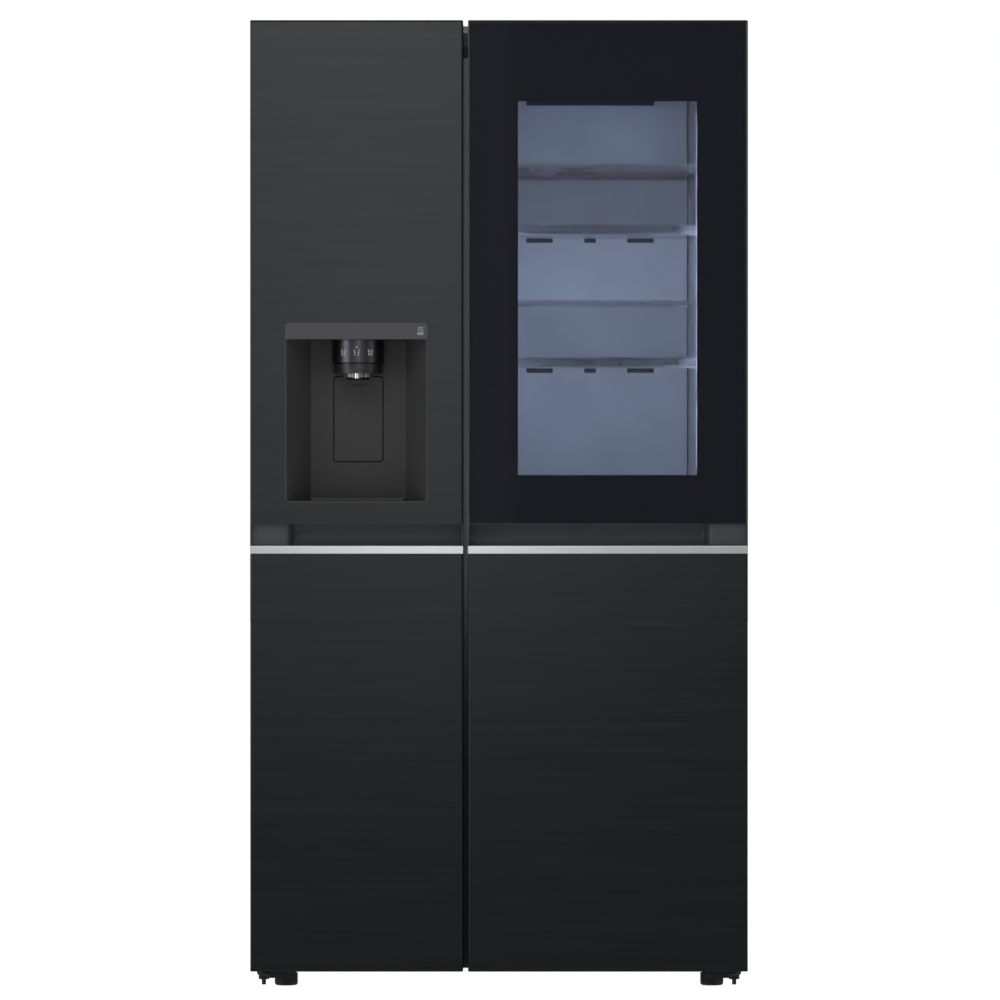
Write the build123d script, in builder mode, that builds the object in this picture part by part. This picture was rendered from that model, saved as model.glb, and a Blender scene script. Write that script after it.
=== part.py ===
from build123d import *
import os
from collections import namedtuple

# Side by side refrigerator with an ice and water dispenser in the freezer door
# and a glass window in the fridge door. Millimetres, +Z up, the front faces -Y.
# The origin is on the floor at the centre of the overall box.

# ---------------------------------------------------------------- overall size
WIDTH, DEPTH, HEIGHT = 913.0, 735.0, 1790.0
FASCIA_PROUD = 1.0                      # the dispenser fascia stands out of the door
FRONT = -DEPTH / 2 + FASCIA_PROUD       # front face of both doors
BACK = DEPTH / 2

# ----------------------------------------------------------------------- doors
DOOR_BOTTOM, DOOR_TOP = 35.0, 1780.0
DOOR_THICK = 103.0
DOOR_BACK = FRONT + DOOR_THICK
DOOR_GAP, GAP_CENTRE = 9.2, -61.4       # gap between the doors, off centre to the left
SKIN = 1.0                              # steel sheet
CAP = 4.0                               # edge of an end cap that shows
SKIN_RADIUS = 4.0
GROOVE_TOP, GROOVE_BOTTOM = 856.0, 815.7
STRIP_BOTTOM, STRIP_THICK = 801.0, 3.0
CHANNEL_DEPTH = 45.0
GROOVE_DEEP, GROOVE_SHALLOW = 34.0, 9.0
SHALLOW_RUN, GROOVE_RAMP = 62.0, 26.0   # the groove is shallow near the hinge, then ramps
LINER = 2.0
CORE_BACK = DOOR_BACK - LINER

# ------------------------------------------------------------------ hinge axis
PIN_X = WIDTH / 2 - 22.5
PIN_Y = FRONT + 66.5
PIN_RADIUS, BORE_RADIUS = 6.0, 6.05
POCKET_FLOOR = 1744.0                   # floor of the pocket that the upper hinge arm enters
POCKET_INNER, POCKET_FORE = 20.0, 36.0  # the pocket's reach from the pin, inwards and forwards
POCKET_WALL = 4.0
CAP_BLOCK_DEPTH = 29.0
LOWER_BOSS = 23.0

# --------------------------------------------------------------------- cabinet
CASE_HALF = 454.0
CASE_FRONT, CASE_BACK = -252.5, BACK - 1.5
CASE_BOTTOM, CASE_TOP = 38.0, 1745.0
FLOOR_Z, CEILING_Z = 107.0, 1700.0      # inside faces of both liners
CAVITY_BACK = 298.0
STEP_BACK, STEP_TOP = 128.0, 322.0      # the cavity steps forward over the machine space
MACHINE_FRONT, MACHINE_TOP = 178.0, 272.0
FLANGE = 8.0                            # liner flange on the cabinet front

Door = namedtuple("Door", "name side free outer dyke_free cavity")
FREEZER = Door("freezer", -1, GAP_CENTRE - DOOR_GAP / 2, -WIDTH / 2, -108.0, (-403.0, -88.0))
FRIDGE = Door("fridge", 1, GAP_CENTRE + DOOR_GAP / 2, WIDTH / 2, -18.0, (-34.0, 403.0))

# ---------------------------------------------------- door liner and its dyke
DYKE_HINGE, DYKE_WALL = 393.0, 18.0     # the raised rib ring that baskets hang between
DYKE_BACK = -200.0
DYKE_BOTTOM, DYKE_TOP = 120.0, 1692.0
RIB_SEAM = 0.1                          # where the four ribs meet each other and the sheet
GASKET_WIDTH, GASKET_REACH = 16.0, 430.0
GASKET_BACK = CASE_FRONT - 0.5
GASKET_BOTTOM, GASKET_TOP = 86.0, 1720.0

# ---------------------------------------------------------------------- window
WINDOW_X, WINDOW_Z = (34.8, 363.0), (945.8, 1631.5)
GLASS = 4.0
TUNNEL_MARGIN, TUNNEL_WALL, PANE_SEAT = 11.0, 3.0, 2.5

# ------------------------------------------------------------------- dispenser
DISPENSER_X = -261.6                    # centre of the recess
DISPENSER_HALF = 131.2
DISPENSER_BOTTOM, DISPENSER_TOP = 894.9, 1224.7
FASCIA_BOTTOM = 1194.6
HEAD_X, HEAD_Y, HEAD_RADIUS = -259.6, -310.0, 48.3
HEAD_BOTTOM = 1151.0
RECESS_BACK, RECESS_BACK_HALF = -295.0, 88.0
HOUSING_WALL = 2.5
PADDLE_HALF, PADDLE_BOTTOM, PADDLE_TOP = 44.7, 971.4, 1127.4
PADDLE_GAP, PADDLE_THICK, PADDLE_POCKET = 1.8, 4.0, 18.0
PADDLE_PIN_Y, PADDLE_PIN_Z = -293.4, 1123.4
PADDLE_PIN_RADIUS, PADDLE_BORE_RADIUS = 1.2, 1.25
FASCIA_LIP, FASCIA_BACK = -360.0, -346.0

# ------------------------------------------------------------ shelves, drawers
SHELF_FRONT, SHELF_BACK = -130.0, 278.0
SHELF_THICK, LEDGE = 5.0, 8.0
TRIM_DEPTH, TRIM_HEIGHT = 12.0, 18.0
FRIDGE_SHELF_Z = (1524.0, 1409.0, 1160.0, 880.0, 598.0)
FREEZER_SHELF_Z = (1430.0, 1190.0, 950.0, 710.0)
DRAWER_FRONT = -112.0
DRAWER_WALL = 3.0
FRIDGE_BASKETS = ((1398.0, 1516.0, -150.0), (1150.0, 1270.0, -150.0), (820.0, 938.0, -150.0),
                  (480.0, 598.0, -175.0), (160.0, 300.0, -175.0))      # bottom, rim, rear face
FREEZER_BASKETS = ((700.0, 818.0, -160.0), (430.0, 548.0, -175.0), (160.0, 300.0, -175.0))
BASKET_WALL, BASKET_FRONT = 3.0, -262.0
FRIDGE_VENT_Z = (1670.0, 1402.0, 1148.0, 868.0, 586.0)
FREEZER_VENT_Z = (1418.0, 1178.0, 938.0, 698.0)

FOOT_X, FOOT_Y, FOOT_RADIUS, FOOT_HEIGHT = 395.0, -240.0, 21.4, 23.0
BASE_BOTTOM = 32.0
ROLLER_X, ROLLER_Y, ROLLER_RADIUS, ROLLER_HALF = 390.0, 300.0, 20.0, 9.0


# ------------------------------------------------------------------- utilities
def block(x, y, z, mode=Mode.ADD):
    """A block in the open part, from its span along each axis."""
    spans = [sorted(span) for span in (x, y, z)]
    middle = [(low + high) / 2 for low, high in spans]
    with Locations(tuple(middle)):
        Box(*(high - low for low, high in spans), mode=mode)


def cut(x, y, z):
    """Cuts a block out of the open part, from its span along each axis."""
    block(x, y, z, mode=Mode.SUBTRACT)


def rod(centre, radius, z, mode=Mode.ADD):
    """An upright round rod in the open part, from its centre (x, y) and span in z."""
    with Locations((*centre, (z[0] + z[1]) / 2)):
        Cylinder(radius, z[1] - z[0], mode=mode)


def save(part, name):
    """Labels a finished piece and writes it to its own file."""
    part.label = name
    export_step(part, f"parts/{name}.step")


def door_span(door):
    """The door's span in x, lowest first."""
    return tuple(sorted((door.free, door.outer)))


# --------------------------------------------------------------------- cabinet
def cabinet_case():
    """Folded steel wrap: top, sides and the front flange that the gaskets close on."""
    with BuildPart() as case:
        block((-CASE_HALF, CASE_HALF), (CASE_FRONT, CASE_BACK), (CASE_BOTTOM, CASE_TOP))
        upright = case.edges().filter_by(Axis.Z).group_by(Axis.Y)[0]
        fillet(upright, radius=2)
        inner = CASE_HALF - SKIN
        cut((-inner, inner), (CASE_FRONT + SKIN, CASE_BACK), (CASE_BOTTOM + SKIN, CASE_TOP - SKIN))
        left, right = FREEZER.cavity[0] - LINER - FLANGE, FRIDGE.cavity[1] + LINER + FLANGE
        low, high = FLOOR_Z - LINER - FLANGE, CEILING_Z + LINER + FLANGE
        cut((left, right), (CASE_FRONT - SKIN, CASE_FRONT + 2 * SKIN), (low, high))
        cut((-inner, inner), (MACHINE_FRONT, CASE_BACK), (CASE_BOTTOM, CASE_BOTTOM + 2 * SKIN))
        for x in (-FOOT_X, FOOT_X):
            rod((x, FOOT_Y), 7.0, (CASE_BOTTOM - SKIN, CASE_BOTTOM + 2 * SKIN), Mode.SUBTRACT)
    save(case.part, "cabinet_case")


def cavity_blocks(door, grow, mode):
    """The stepped cavity of one compartment, grown by a wall thickness, in the open part."""
    x = (door.cavity[0] - grow, door.cavity[1] + grow)
    back, step = CAVITY_BACK + grow, STEP_BACK + grow
    block(x, (CASE_FRONT, back), (STEP_TOP - grow, CEILING_Z + grow), mode)
    block(x, (CASE_FRONT, step), (FLOOR_Z - grow, STEP_TOP), mode)


def cabinet_insulation():
    """Foam that fills the cabinet between the steel wrap and the two liners."""
    inner = CASE_HALF - SKIN
    with BuildPart() as foam:
        block((-inner, inner), (CASE_FRONT + SKIN, CASE_BACK),
              (CASE_BOTTOM + SKIN, CASE_TOP - SKIN))
        fillet(foam.edges().filter_by(Axis.Z).group_by(Axis.Y)[0], radius=1)
        for door in (FREEZER, FRIDGE):
            cavity_blocks(door, LINER, Mode.SUBTRACT)
        cut((-inner, inner), (MACHINE_FRONT, CASE_BACK), (CASE_BOTTOM, MACHINE_TOP))
        for x in (-FOOT_X, FOOT_X):
            rod((x, FOOT_Y), 7.0, (CASE_BOTTOM, 76.0), Mode.SUBTRACT)
    save(foam.part, "cabinet_insulation")


def compartment_liner(door, shelf_levels, drawer_levels):
    """White moulded liner of one compartment, with the ledges that shelves and drawers sit on."""
    x = door.cavity
    walls = ((x[0], x[0] + LEDGE), (x[1] - LEDGE, x[1]))
    with BuildPart() as liner:
        cavity_blocks(door, LINER, Mode.ADD)
        mullion_flange = 5.0
        outer_flange = LINER + FLANGE
        flanges = (mullion_flange + LINER, outer_flange)[::door.side]
        block((x[0] - flanges[0], x[1] + flanges[1]), (CASE_FRONT, CASE_FRONT + SKIN),
              (FLOOR_Z - outer_flange, CEILING_Z + outer_flange))
        cavity_blocks(door, 0, Mode.SUBTRACT)
        for level in shelf_levels:
            for wall in walls:
                block(wall, (SHELF_FRONT + 4, SHELF_BACK), (level - 6, level))
        for level, back in drawer_levels:
            for wall in walls:
                block(wall, (DRAWER_FRONT, back), (level - 6, level))
    save(liner.part, f"{door.name}_liner")


def mullion_strip():
    """Steel strip on the front of the wall between the compartments."""
    with BuildPart() as strip:
        block((FREEZER.cavity[1] + 7, FRIDGE.cavity[0] - 7), (CASE_FRONT, CASE_FRONT + SKIN),
              (FLOOR_Z - LINER - FLANGE, CEILING_Z + LINER + FLANGE))
    save(strip.part, "mullion_strip")


def rear_panel():
    """Flat steel sheet that closes the foamed back of the cabinet."""
    with BuildPart() as panel:
        block((-452, 452), (CASE_BACK, BACK), (MACHINE_TOP, CASE_TOP - 2))
        for x in (-150, 0, 150):                      # shallow stiffening beads
            cut((x - 6, x + 6), (BACK - 0.6, BACK), (MACHINE_TOP + 60, CASE_TOP - 80))
    save(panel.part, "rear_panel")


def machine_cover():
    """Slotted cover over the machine space at the bottom of the back."""
    with BuildPart() as cover:
        block((-446, 446), (BACK - 3, BACK), (46, MACHINE_TOP - 4))
        with Locations(Plane.XZ.offset(-BACK + 1.5)):
            with Locations((-250, 158), (250, 158)):
                with GridLocations(0, 18, 1, 8):
                    Box(260, 7, 8, mode=Mode.SUBTRACT)
    save(cover.part, "machine_cover")


def top_covers():
    """Plastic covers on the cabinet top: one over each upper hinge, and a strip between them."""
    wall = 2.5
    reach = 17.0
    strip_end = PIN_X - 56
    with BuildPart() as covers:
        for side in (-1, 1):
            for grow, mode, z in ((0, Mode.ADD, (CASE_TOP + 0.5, HEIGHT)),
                                  (-wall, Mode.SUBTRACT, (CASE_TOP, HEIGHT - wall))):
                inner_x, outer_x = side * (PIN_X - 52 - grow), side * (452 + grow)
                with BuildSketch(Plane.XY.offset(z[0])):
                    with Locations(((inner_x + outer_x) / 2, -180)):
                        Rectangle(abs(outer_x - inner_x), 140 + 2 * grow)
                    if mode == Mode.ADD:
                        fillet(vertices(Select.ALL), radius=6)
                extrude(amount=z[1] - z[0], mode=mode)
                nose_top = 1784.0 + grow
                with BuildSketch(Plane.XY.offset(z[0])):
                    with Locations((side * PIN_X, (PIN_Y - 240) / 2)):
                        Rectangle(2 * (reach + grow), -240 - PIN_Y)
                    with Locations((side * PIN_X, PIN_Y)):
                        Circle(reach + grow)
                extrude(amount=nose_top - z[0], mode=mode)
        with BuildSketch(Plane.YZ.offset(-strip_end)):    # rounded strip seen between the doors
            with BuildLine():
                front, back, low, high = DOOR_BACK + 2.5, -205.0, 1739.0, 1779.0
                outline = Polyline((front, high - 14), (front, low), (CASE_FRONT - 0.5, low),
                                   (CASE_FRONT - 0.5, CASE_TOP + 0.5), (back, CASE_TOP + 0.5),
                                   (back, high), (front + 14, high))
                RadiusArc(outline @ 1, outline @ 0, 14)
            make_face()
        extrude(amount=2 * strip_end)
    save(covers.part, "top_covers")


def upper_hinges():
    """Steel plates on the cabinet top, each with an arm over its door and a pin down into it."""
    arm, plate = 13.0, (CASE_TOP, CASE_TOP + 5)
    with BuildPart() as hinges:
        for side in (-1, 1):
            x = side * PIN_X
            rod((x, PIN_Y), arm, plate)
            block((x - arm, x + arm), (PIN_Y, -170), plate)
            block((x - side * 34, x + arm * side), (-240, -130), plate)
            rod((x, PIN_Y), PIN_RADIUS, (CASE_TOP - 22, CASE_TOP))
            rod((x, PIN_Y), 9, (CASE_TOP + 5, CASE_TOP + 10))
            for dx in (-22, 2):                       # hexagon heads of the fixing bolts
                with BuildSketch(Plane.XY.offset(CASE_TOP + 5)):
                    with Locations((x + side * dx, -215), (x + side * dx, -150)):
                        RegularPolygon(8, 6)
                extrude(amount=5)
    save(hinges.part, "upper_hinges")


def lower_hinges():
    """Steel brackets under the cabinet front, each with a pin up into the door above it."""
    top, bottom = BASE_BOTTOM, BASE_BOTTOM - 5
    with BuildPart() as hinges:
        for side in (-1, 1):
            x = side * PIN_X
            inner = side * (PIN_X - 48)
            rod((x, PIN_Y), 13, (bottom, top))
            block((side * (PIN_X + 13), inner), (PIN_Y, -196), (bottom, top))
            block((side * (PIN_X - 9), inner), (PIN_Y - 16, PIN_Y), (bottom, top))
            block((side * (PIN_X - 9), inner), (PIN_Y - 16, PIN_Y - 12), (bottom - 8, bottom))
            rod((x, PIN_Y), 11, (top, DOOR_BOTTOM - 0.1))
            rod((x, PIN_Y), PIN_RADIUS, (DOOR_BOTTOM - 0.1, DOOR_BOTTOM + LOWER_BOSS - 1))
            rod((side * FOOT_X, FOOT_Y), 7, (bottom, top), Mode.SUBTRACT)
    save(hinges.part, "lower_hinges")


def hinge_adjusting_bolts():
    """Collar, nut and bolt tip under each lower hinge, which set the height of the door."""
    plate = BASE_BOTTOM - 5
    with BuildPart() as bolts:
        for side in (-1, 1):
            spot = (side * PIN_X, PIN_Y)
            with BuildSketch(Plane.XY.offset(plate)):
                with Locations(spot):
                    Circle(13.5)
            extrude(amount=-5, taper=38)
            with BuildSketch(Plane.XY.offset(plate - 5)):
                with Locations(spot):
                    RegularPolygon(10, 6)
            extrude(amount=-6)
            rod(spot, 4, (6, plate - 11))
    save(bolts.part, "hinge_adjusting_bolts")


def base_frame():
    """Steel frame under the cabinet, with the machine base plate and the rear roller ears."""
    low, high = BASE_BOTTOM, CASE_BOTTOM
    with BuildPart() as frame:
        block((-446, 446), (-249, -190), (low, high))
        for side in (-1, 1):
            block((side * 404, side * 446), (-190, MACHINE_FRONT), (low, high))
            block((side * 404, side * 446), (MACHINE_FRONT, 340), (low, high))
        block((-446, 446), (MACHINE_FRONT + 2, 355), (low, high))
        for side in (-1, 1):
            rod((side * FOOT_X, FOOT_Y), 6.1, (low, high), Mode.SUBTRACT)
            cut((side * 380.5, side * 399.5), (ROLLER_Y - 22, ROLLER_Y + 22), (low, high))
            for x in (ROLLER_X - 12, ROLLER_X + 10):
                block((side * x, side * (x + 2)), (ROLLER_Y - 14, ROLLER_Y + 14), (11, low))
        with Locations((0, ROLLER_Y, ROLLER_RADIUS)):
            Cylinder(4.05, 2 * (ROLLER_X + 14), rotation=(0, 90, 0), mode=Mode.SUBTRACT)
    save(frame.part, "base_frame")


def rear_rollers():
    """Two rear rollers, each moulded with the stub axles that turn in the frame's ears."""
    for side, name in ((-1, "left_rear_roller"), (1, "right_rear_roller")):
        with BuildPart() as roller:
            with BuildSketch(Plane.YZ.offset(side * ROLLER_X - ROLLER_HALF)):
                with Locations((ROLLER_Y, ROLLER_RADIUS)):
                    Circle(ROLLER_RADIUS)
            extrude(amount=2 * ROLLER_HALF)
            chamfer(roller.edges().filter_by(GeomType.CIRCLE), length=1.5)
            with BuildSketch(Plane.YZ.offset(side * ROLLER_X - 13)):
                with Locations((ROLLER_Y, ROLLER_RADIUS)):
                    Circle(4.0)
            extrude(amount=26)
        save(roller.part, name)


def levelling_feet():
    """Front feet: a notched disc that is turned by hand, on a threaded stud."""
    for side, name in ((-1, "left_levelling_foot"), (1, "right_levelling_foot")):
        x = side * FOOT_X
        with BuildPart() as foot:
            rod((x, FOOT_Y), FOOT_RADIUS, (0, FOOT_HEIGHT))
            with Locations((x, FOOT_Y, FOOT_HEIGHT / 2 + 4)):
                with PolarLocations(FOOT_RADIUS + 0.6, 24):
                    Box(2.4, 2.4, FOOT_HEIGHT - 8, mode=Mode.SUBTRACT)
            fillet(foot.edges().filter_by(GeomType.CIRCLE).group_by(Axis.Z)[0], radius=4)
            rod((x, FOOT_Y), 6, (FOOT_HEIGHT, 70))
        save(foot.part, name)


# --------------------------------------------------------------- machine space
def compressor():
    """Welded compressor shell on its base plate and four rubber mounts' posts."""
    x, y = -280.0, 268.0
    with BuildPart() as machine:
        with BuildSketch(Plane.XY.offset(64)):
            with Locations((x, y)):
                Ellipse(88, 72)
        extrude(amount=150)
        fillet(machine.edges().group_by(Axis.Z)[-1], radius=34)
        fillet(machine.edges().group_by(Axis.Z)[0], radius=16)
        block((x - 95, x + 95), (y - 62, y + 62), (56, 60))
        rod((x, y), 40, (58, 70))
        for dx in (-82, 82):
            for dy in (-50, 50):
                rod((x + dx, y + dy), 9, (CASE_BOTTOM, 66))
        with BuildSketch(Plane.YZ.offset(x + 70)):
            with Locations((y, 130), (y - 25, 150)):
                Circle(4)
        extrude(amount=60)
    save(machine.part, "compressor")


def condenser():
    """Finned tube condenser: upright fins on level tubes."""
    left, right = 60.0, 300.0
    fins = 17
    with BuildPart() as coil:
        with Locations(((left + right) / 2, 262, 140)):
            with GridLocations((right - left) / (fins - 1), 0, fins, 1):
                Box(1.2, 110, 170)
        with BuildSketch(Plane.YZ.offset(left - 8)):
            with Locations((262, 140)):
                with GridLocations(44, 44, 2, 4):
                    Circle(4)
        extrude(amount=right - left + 16)
        block((left + 6, left + 16), (215, 309), (CASE_BOTTOM, 60))
        block((right - 16, right - 6), (215, 309), (CASE_BOTTOM, 60))
    save(coil.part, "condenser")


FAN_X, FAN_Y, FAN_Z = -20.0, 262.0, 140.0


def condenser_fan_shroud():
    """Square plate with a round opening, and the motor held behind the fan on three spokes."""
    with BuildPart() as shroud:
        block((FAN_X - 2, FAN_X + 2), (FAN_Y - 78, FAN_Y + 78), (CASE_BOTTOM, FAN_Z + 86))
        with BuildSketch(Plane.YZ.offset(FAN_X - 2)):
            with Locations((FAN_Y, FAN_Z)):
                Circle(68)
        extrude(amount=4, mode=Mode.SUBTRACT)
        with BuildSketch(Plane.YZ.offset(FAN_X - 2)):
            with Locations((FAN_Y, FAN_Z)):
                with PolarLocations(46, 3):
                    Rectangle(52, 8)
                Circle(24)
        extrude(amount=4)
        with BuildSketch(Plane.YZ.offset(FAN_X - 34)):
            with Locations((FAN_Y, FAN_Z)):
                Circle(24)
        extrude(amount=32)
        with Locations((FAN_X - 6, FAN_Y, FAN_Z)):
            Cylinder(3.05, 16, rotation=(0, 90, 0), mode=Mode.SUBTRACT)
    save(shroud.part, "condenser_fan_shroud")


def condenser_fan():
    """Five bladed fan with a shaft that turns in the motor's bore."""
    with BuildPart() as fan:
        with Locations((FAN_X + 12, FAN_Y, FAN_Z)):
            Cylinder(20, 18, rotation=(0, 90, 0))
        with Locations((FAN_X - 3, FAN_Y, FAN_Z)):
            Cylinder(3, 14, rotation=(0, 90, 0))
        with Locations((FAN_X + 12, FAN_Y, FAN_Z)):
            with Locations(Location((0, 0, 0), (0, 90, 0))):
                with PolarLocations(38, 5):
                    Box(44, 34, 2.2, rotation=(28, 0, 0))
    save(fan.part, "condenser_fan")


# ------------------------------------------------------ inside the compartments
def duct_panel(door, x, centre, vent_z):
    """Rear duct cover of one compartment, with a wide, a narrow and a wide vent in each row."""
    wide, narrow, spread, tall = 52.7, 23.4, 98.6, 9.4
    with BuildPart() as panel:
        block(x, (CAVITY_BACK - 15, CAVITY_BACK), (STEP_TOP + 8, CEILING_Z - 1))
        fillet(panel.edges().filter_by(Axis.Z).group_by(Axis.Y)[0], radius=5)
        for level in vent_z:
            for dx, length in ((-spread, wide), (0, narrow), (spread, wide)):
                if x[0] + 8 < centre + dx - length / 2 and centre + dx + length / 2 < x[1] - 8:
                    cut((centre + dx - length / 2, centre + dx + length / 2),
                        (CAVITY_BACK - 16, CAVITY_BACK - 6), (level, level + tall))
    save(panel.part, f"{door.name}_duct_panel")


def ceiling_light():
    """Lamp cover on the fridge ceiling."""
    with BuildPart() as lamp:
        block((88, 280), (-90, 30), (CEILING_Z - 8, CEILING_Z))
        fillet(lamp.edges().filter_by(Axis.Z), radius=14)
        chamfer(lamp.faces().sort_by(Axis.Z)[0].edges(), length=3)
    save(lamp.part, "fridge_ceiling_light")


def shelves(door, levels):
    """Glass shelves of one compartment, each a separate plate on the liner's ledges."""
    x = (door.cavity[0] + 1, door.cavity[1] - 1)
    with BuildPart() as plates:
        for level in levels:
            block(x, (SHELF_FRONT, SHELF_BACK), (level, level + SHELF_THICK))
    save(plates.part, f"{door.name}_shelves")


def fridge_shelf_trims():
    """Moulded front rail of each fridge shelf."""
    with BuildPart() as trims:
        for level in FRIDGE_SHELF_Z:
            low = level + SHELF_THICK + 1 - TRIM_HEIGHT
            block((FRIDGE.cavity[0] + 2, FRIDGE.cavity[1] - 2),
                  (SHELF_FRONT - TRIM_DEPTH, SHELF_FRONT), (low, low + TRIM_HEIGHT))
            cut((FRIDGE.cavity[0] + 14, FRIDGE.cavity[1] - 14),
                (SHELF_FRONT - TRIM_DEPTH, SHELF_FRONT - TRIM_DEPTH + 2), (low + 5, low + 12))
    save(trims.part, "fridge_shelf_trims")


def drawer(name, door, z, back):
    """Open topped drawer with a thicker front and a finger rail along its top edge."""
    x = (door.cavity[0] + 4, door.cavity[1] - 4)
    front = DRAWER_FRONT
    with BuildPart() as box:
        block(x, (front, back), z)
        upright = box.edges().filter_by(Axis.Z)
        fillet(upright.group_by(Axis.Y)[-1], radius=12)
        cut((x[0] + DRAWER_WALL, x[1] - DRAWER_WALL), (front + 8, back - DRAWER_WALL),
            (z[0] + DRAWER_WALL, z[1]))
        cut((x[0] + 30, x[1] - 30), (front, front + 5), (z[1] - 34, z[1] - 12))
    save(box.part, name)


# ----------------------------------------------------------------------- doors
def hinge_pocket(door, grow):
    """Span in x, y and z of the block of the top cap round the hinge pocket."""
    inner = door.side * (PIN_X - POCKET_INNER - POCKET_WALL - grow)
    return ((inner, door.outer), (PIN_Y - POCKET_FORE - POCKET_WALL - grow, DOOR_BACK),
            (POCKET_FLOOR - CAP_BLOCK_DEPTH - grow, DOOR_TOP - CAP))


def steel_skin(door, z, opening=None):
    """Folded steel front with its two side returns, as a shell round the door's foam."""
    low, high = door_span(door)
    with BuildPart() as skin:
        block((low, high), (FRONT, CORE_BACK), z)
        fillet(skin.edges().filter_by(Axis.Z).group_by(Axis.Y)[0], radius=SKIN_RADIUS)
        bottom = z[0] + (SKIN if z[0] == GROOVE_TOP else 0)
        with BuildSketch(Plane.XY.offset(bottom)):
            with Locations(((low + high) / 2, (FRONT + CORE_BACK + SKIN) / 2)):
                Rectangle(high - low - 2 * SKIN, CORE_BACK - FRONT - SKIN)
            fillet(vertices().group_by(Axis.Y)[0], radius=SKIN_RADIUS - SKIN)
        extrude(amount=z[1] - bottom, mode=Mode.SUBTRACT)
        if z[0] == GROOVE_TOP:
            cut((low + SKIN, high - SKIN), (FRONT + CHANNEL_DEPTH, CORE_BACK), (z[0], bottom))
            cut(*hinge_pocket(door, 0))
        if opening:
            cut(opening[0], (FRONT - SKIN, FRONT + 2 * SKIN), opening[1])
    return skin.part


def groove_cutter(door):
    """The finger groove: shallow by the hinge, deep along the rest, with a hollow back."""
    low, high = door_span(door)
    hinge, free, inward = (low, high, 1) if door.side < 0 else (high, low, -1)
    start, stop = hinge + inward * LINER, free - inward * LINER
    ramp = hinge + inward * SHALLOW_RUN
    outside = FRONT - 5
    with BuildPart() as groove:
        with BuildSketch(Plane.XY.offset(GROOVE_BOTTOM)):
            with BuildLine():
                shallow = Polyline((start, outside), (start, FRONT + GROOVE_SHALLOW),
                                   (ramp, FRONT + GROOVE_SHALLOW))
                deep = Polyline((ramp + inward * GROOVE_RAMP, FRONT + GROOVE_DEEP),
                                (stop, FRONT + GROOVE_DEEP), (stop, outside), (start, outside))
                Spline(shallow @ 1, deep @ 0, tangents=((inward, 0), (inward, 0)))
            make_face()
        extrude(amount=GROOVE_TOP - GROOVE_BOTTOM)
        with BuildSketch(Plane.YZ.offset(low - 1)):
            with BuildLine():
                middle = (GROOVE_TOP + GROOVE_BOTTOM) / 2
                back = FRONT + 0.72 * GROOVE_DEEP
                Polyline((back, GROOVE_BOTTOM), (outside, GROOVE_BOTTOM),
                         (outside, GROOVE_TOP), (back, GROOVE_TOP))
                ThreePointArc((back, GROOVE_BOTTOM), (FRONT + GROOVE_DEEP, middle),
                              (back, GROOVE_TOP))
            make_face()
        extrude(amount=high - low + 2, mode=Mode.INTERSECT)
    return groove.part


def handle_channel(door):
    """Moulded channel across the door that forms the finger groove, with its end plates."""
    low, high = door_span(door)
    groove = groove_cutter(door)
    with BuildPart() as channel:
        block((low, high), (FRONT, FRONT + CHANNEL_DEPTH), (STRIP_BOTTOM, GROOVE_TOP))
        for end in ((low, low + SKIN), (high - SKIN, high)):
            block(end, (FRONT, CORE_BACK), (STRIP_BOTTOM, GROOVE_TOP))
        fillet(channel.edges().filter_by(Axis.Z).group_by(Axis.Y)[0], radius=1.5)
        add(groove, mode=Mode.SUBTRACT)
        cut((low, high), (FRONT, FRONT + STRIP_THICK), (STRIP_BOTTOM, GROOVE_BOTTOM))
    save(channel.part, f"{door.name}_door_handle_channel")


def trim_strip(door):
    """Bright metal strip along the lower lip of the finger groove."""
    low, high = door_span(door)
    with BuildPart() as strip:
        block((low, high), (FRONT, FRONT + STRIP_THICK), (STRIP_BOTTOM, GROOVE_BOTTOM))
        chamfer(strip.edges().filter_by(Axis.X).group_by(Axis.Y)[0], length=0.8)
    save(strip.part, f"{door.name}_door_trim_strip")


def end_caps(door):
    """Plastic caps on the top and bottom of a door, with the bores for the hinge pins."""
    low, high = door_span(door)
    pin = (door.side * PIN_X, PIN_Y)
    pocket_inner = door.side * (PIN_X - POCKET_INNER)
    boss = ((pin[0] - door.side * 20, door.outer - door.side * SKIN), (PIN_Y - 25, PIN_Y + 25))
    with BuildPart() as caps:
        block((low, high), (FRONT, DOOR_BACK), (DOOR_TOP - CAP, DOOR_TOP))
        block((low, high), (FRONT, DOOR_BACK), (DOOR_BOTTOM, DOOR_BOTTOM + CAP))
        fillet(caps.edges().filter_by(Axis.Z).group_by(Axis.Y)[0], radius=SKIN_RADIUS)
        front_edges = caps.edges().filter_by(Axis.X).group_by(Axis.Y)[0]
        chamfer(front_edges.group_by(Axis.Z)[-1] + front_edges.group_by(Axis.Z)[0], length=1.2)
        block(*hinge_pocket(door, 0))
        block(*boss, (DOOR_BOTTOM + CAP, DOOR_BOTTOM + LOWER_BOSS + CAP))
        cut((pocket_inner, door.outer + door.side), (PIN_Y - POCKET_FORE, DOOR_BACK + 1),
            (POCKET_FLOOR, DOOR_TOP + 1))
        rod(pin, BORE_RADIUS, (POCKET_FLOOR - CAP_BLOCK_DEPTH, POCKET_FLOOR), Mode.SUBTRACT)
        rod(pin, BORE_RADIUS, (DOOR_BOTTOM, DOOR_BOTTOM + LOWER_BOSS + CAP), Mode.SUBTRACT)
    save(caps.part, f"{door.name}_door_end_caps")


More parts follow.
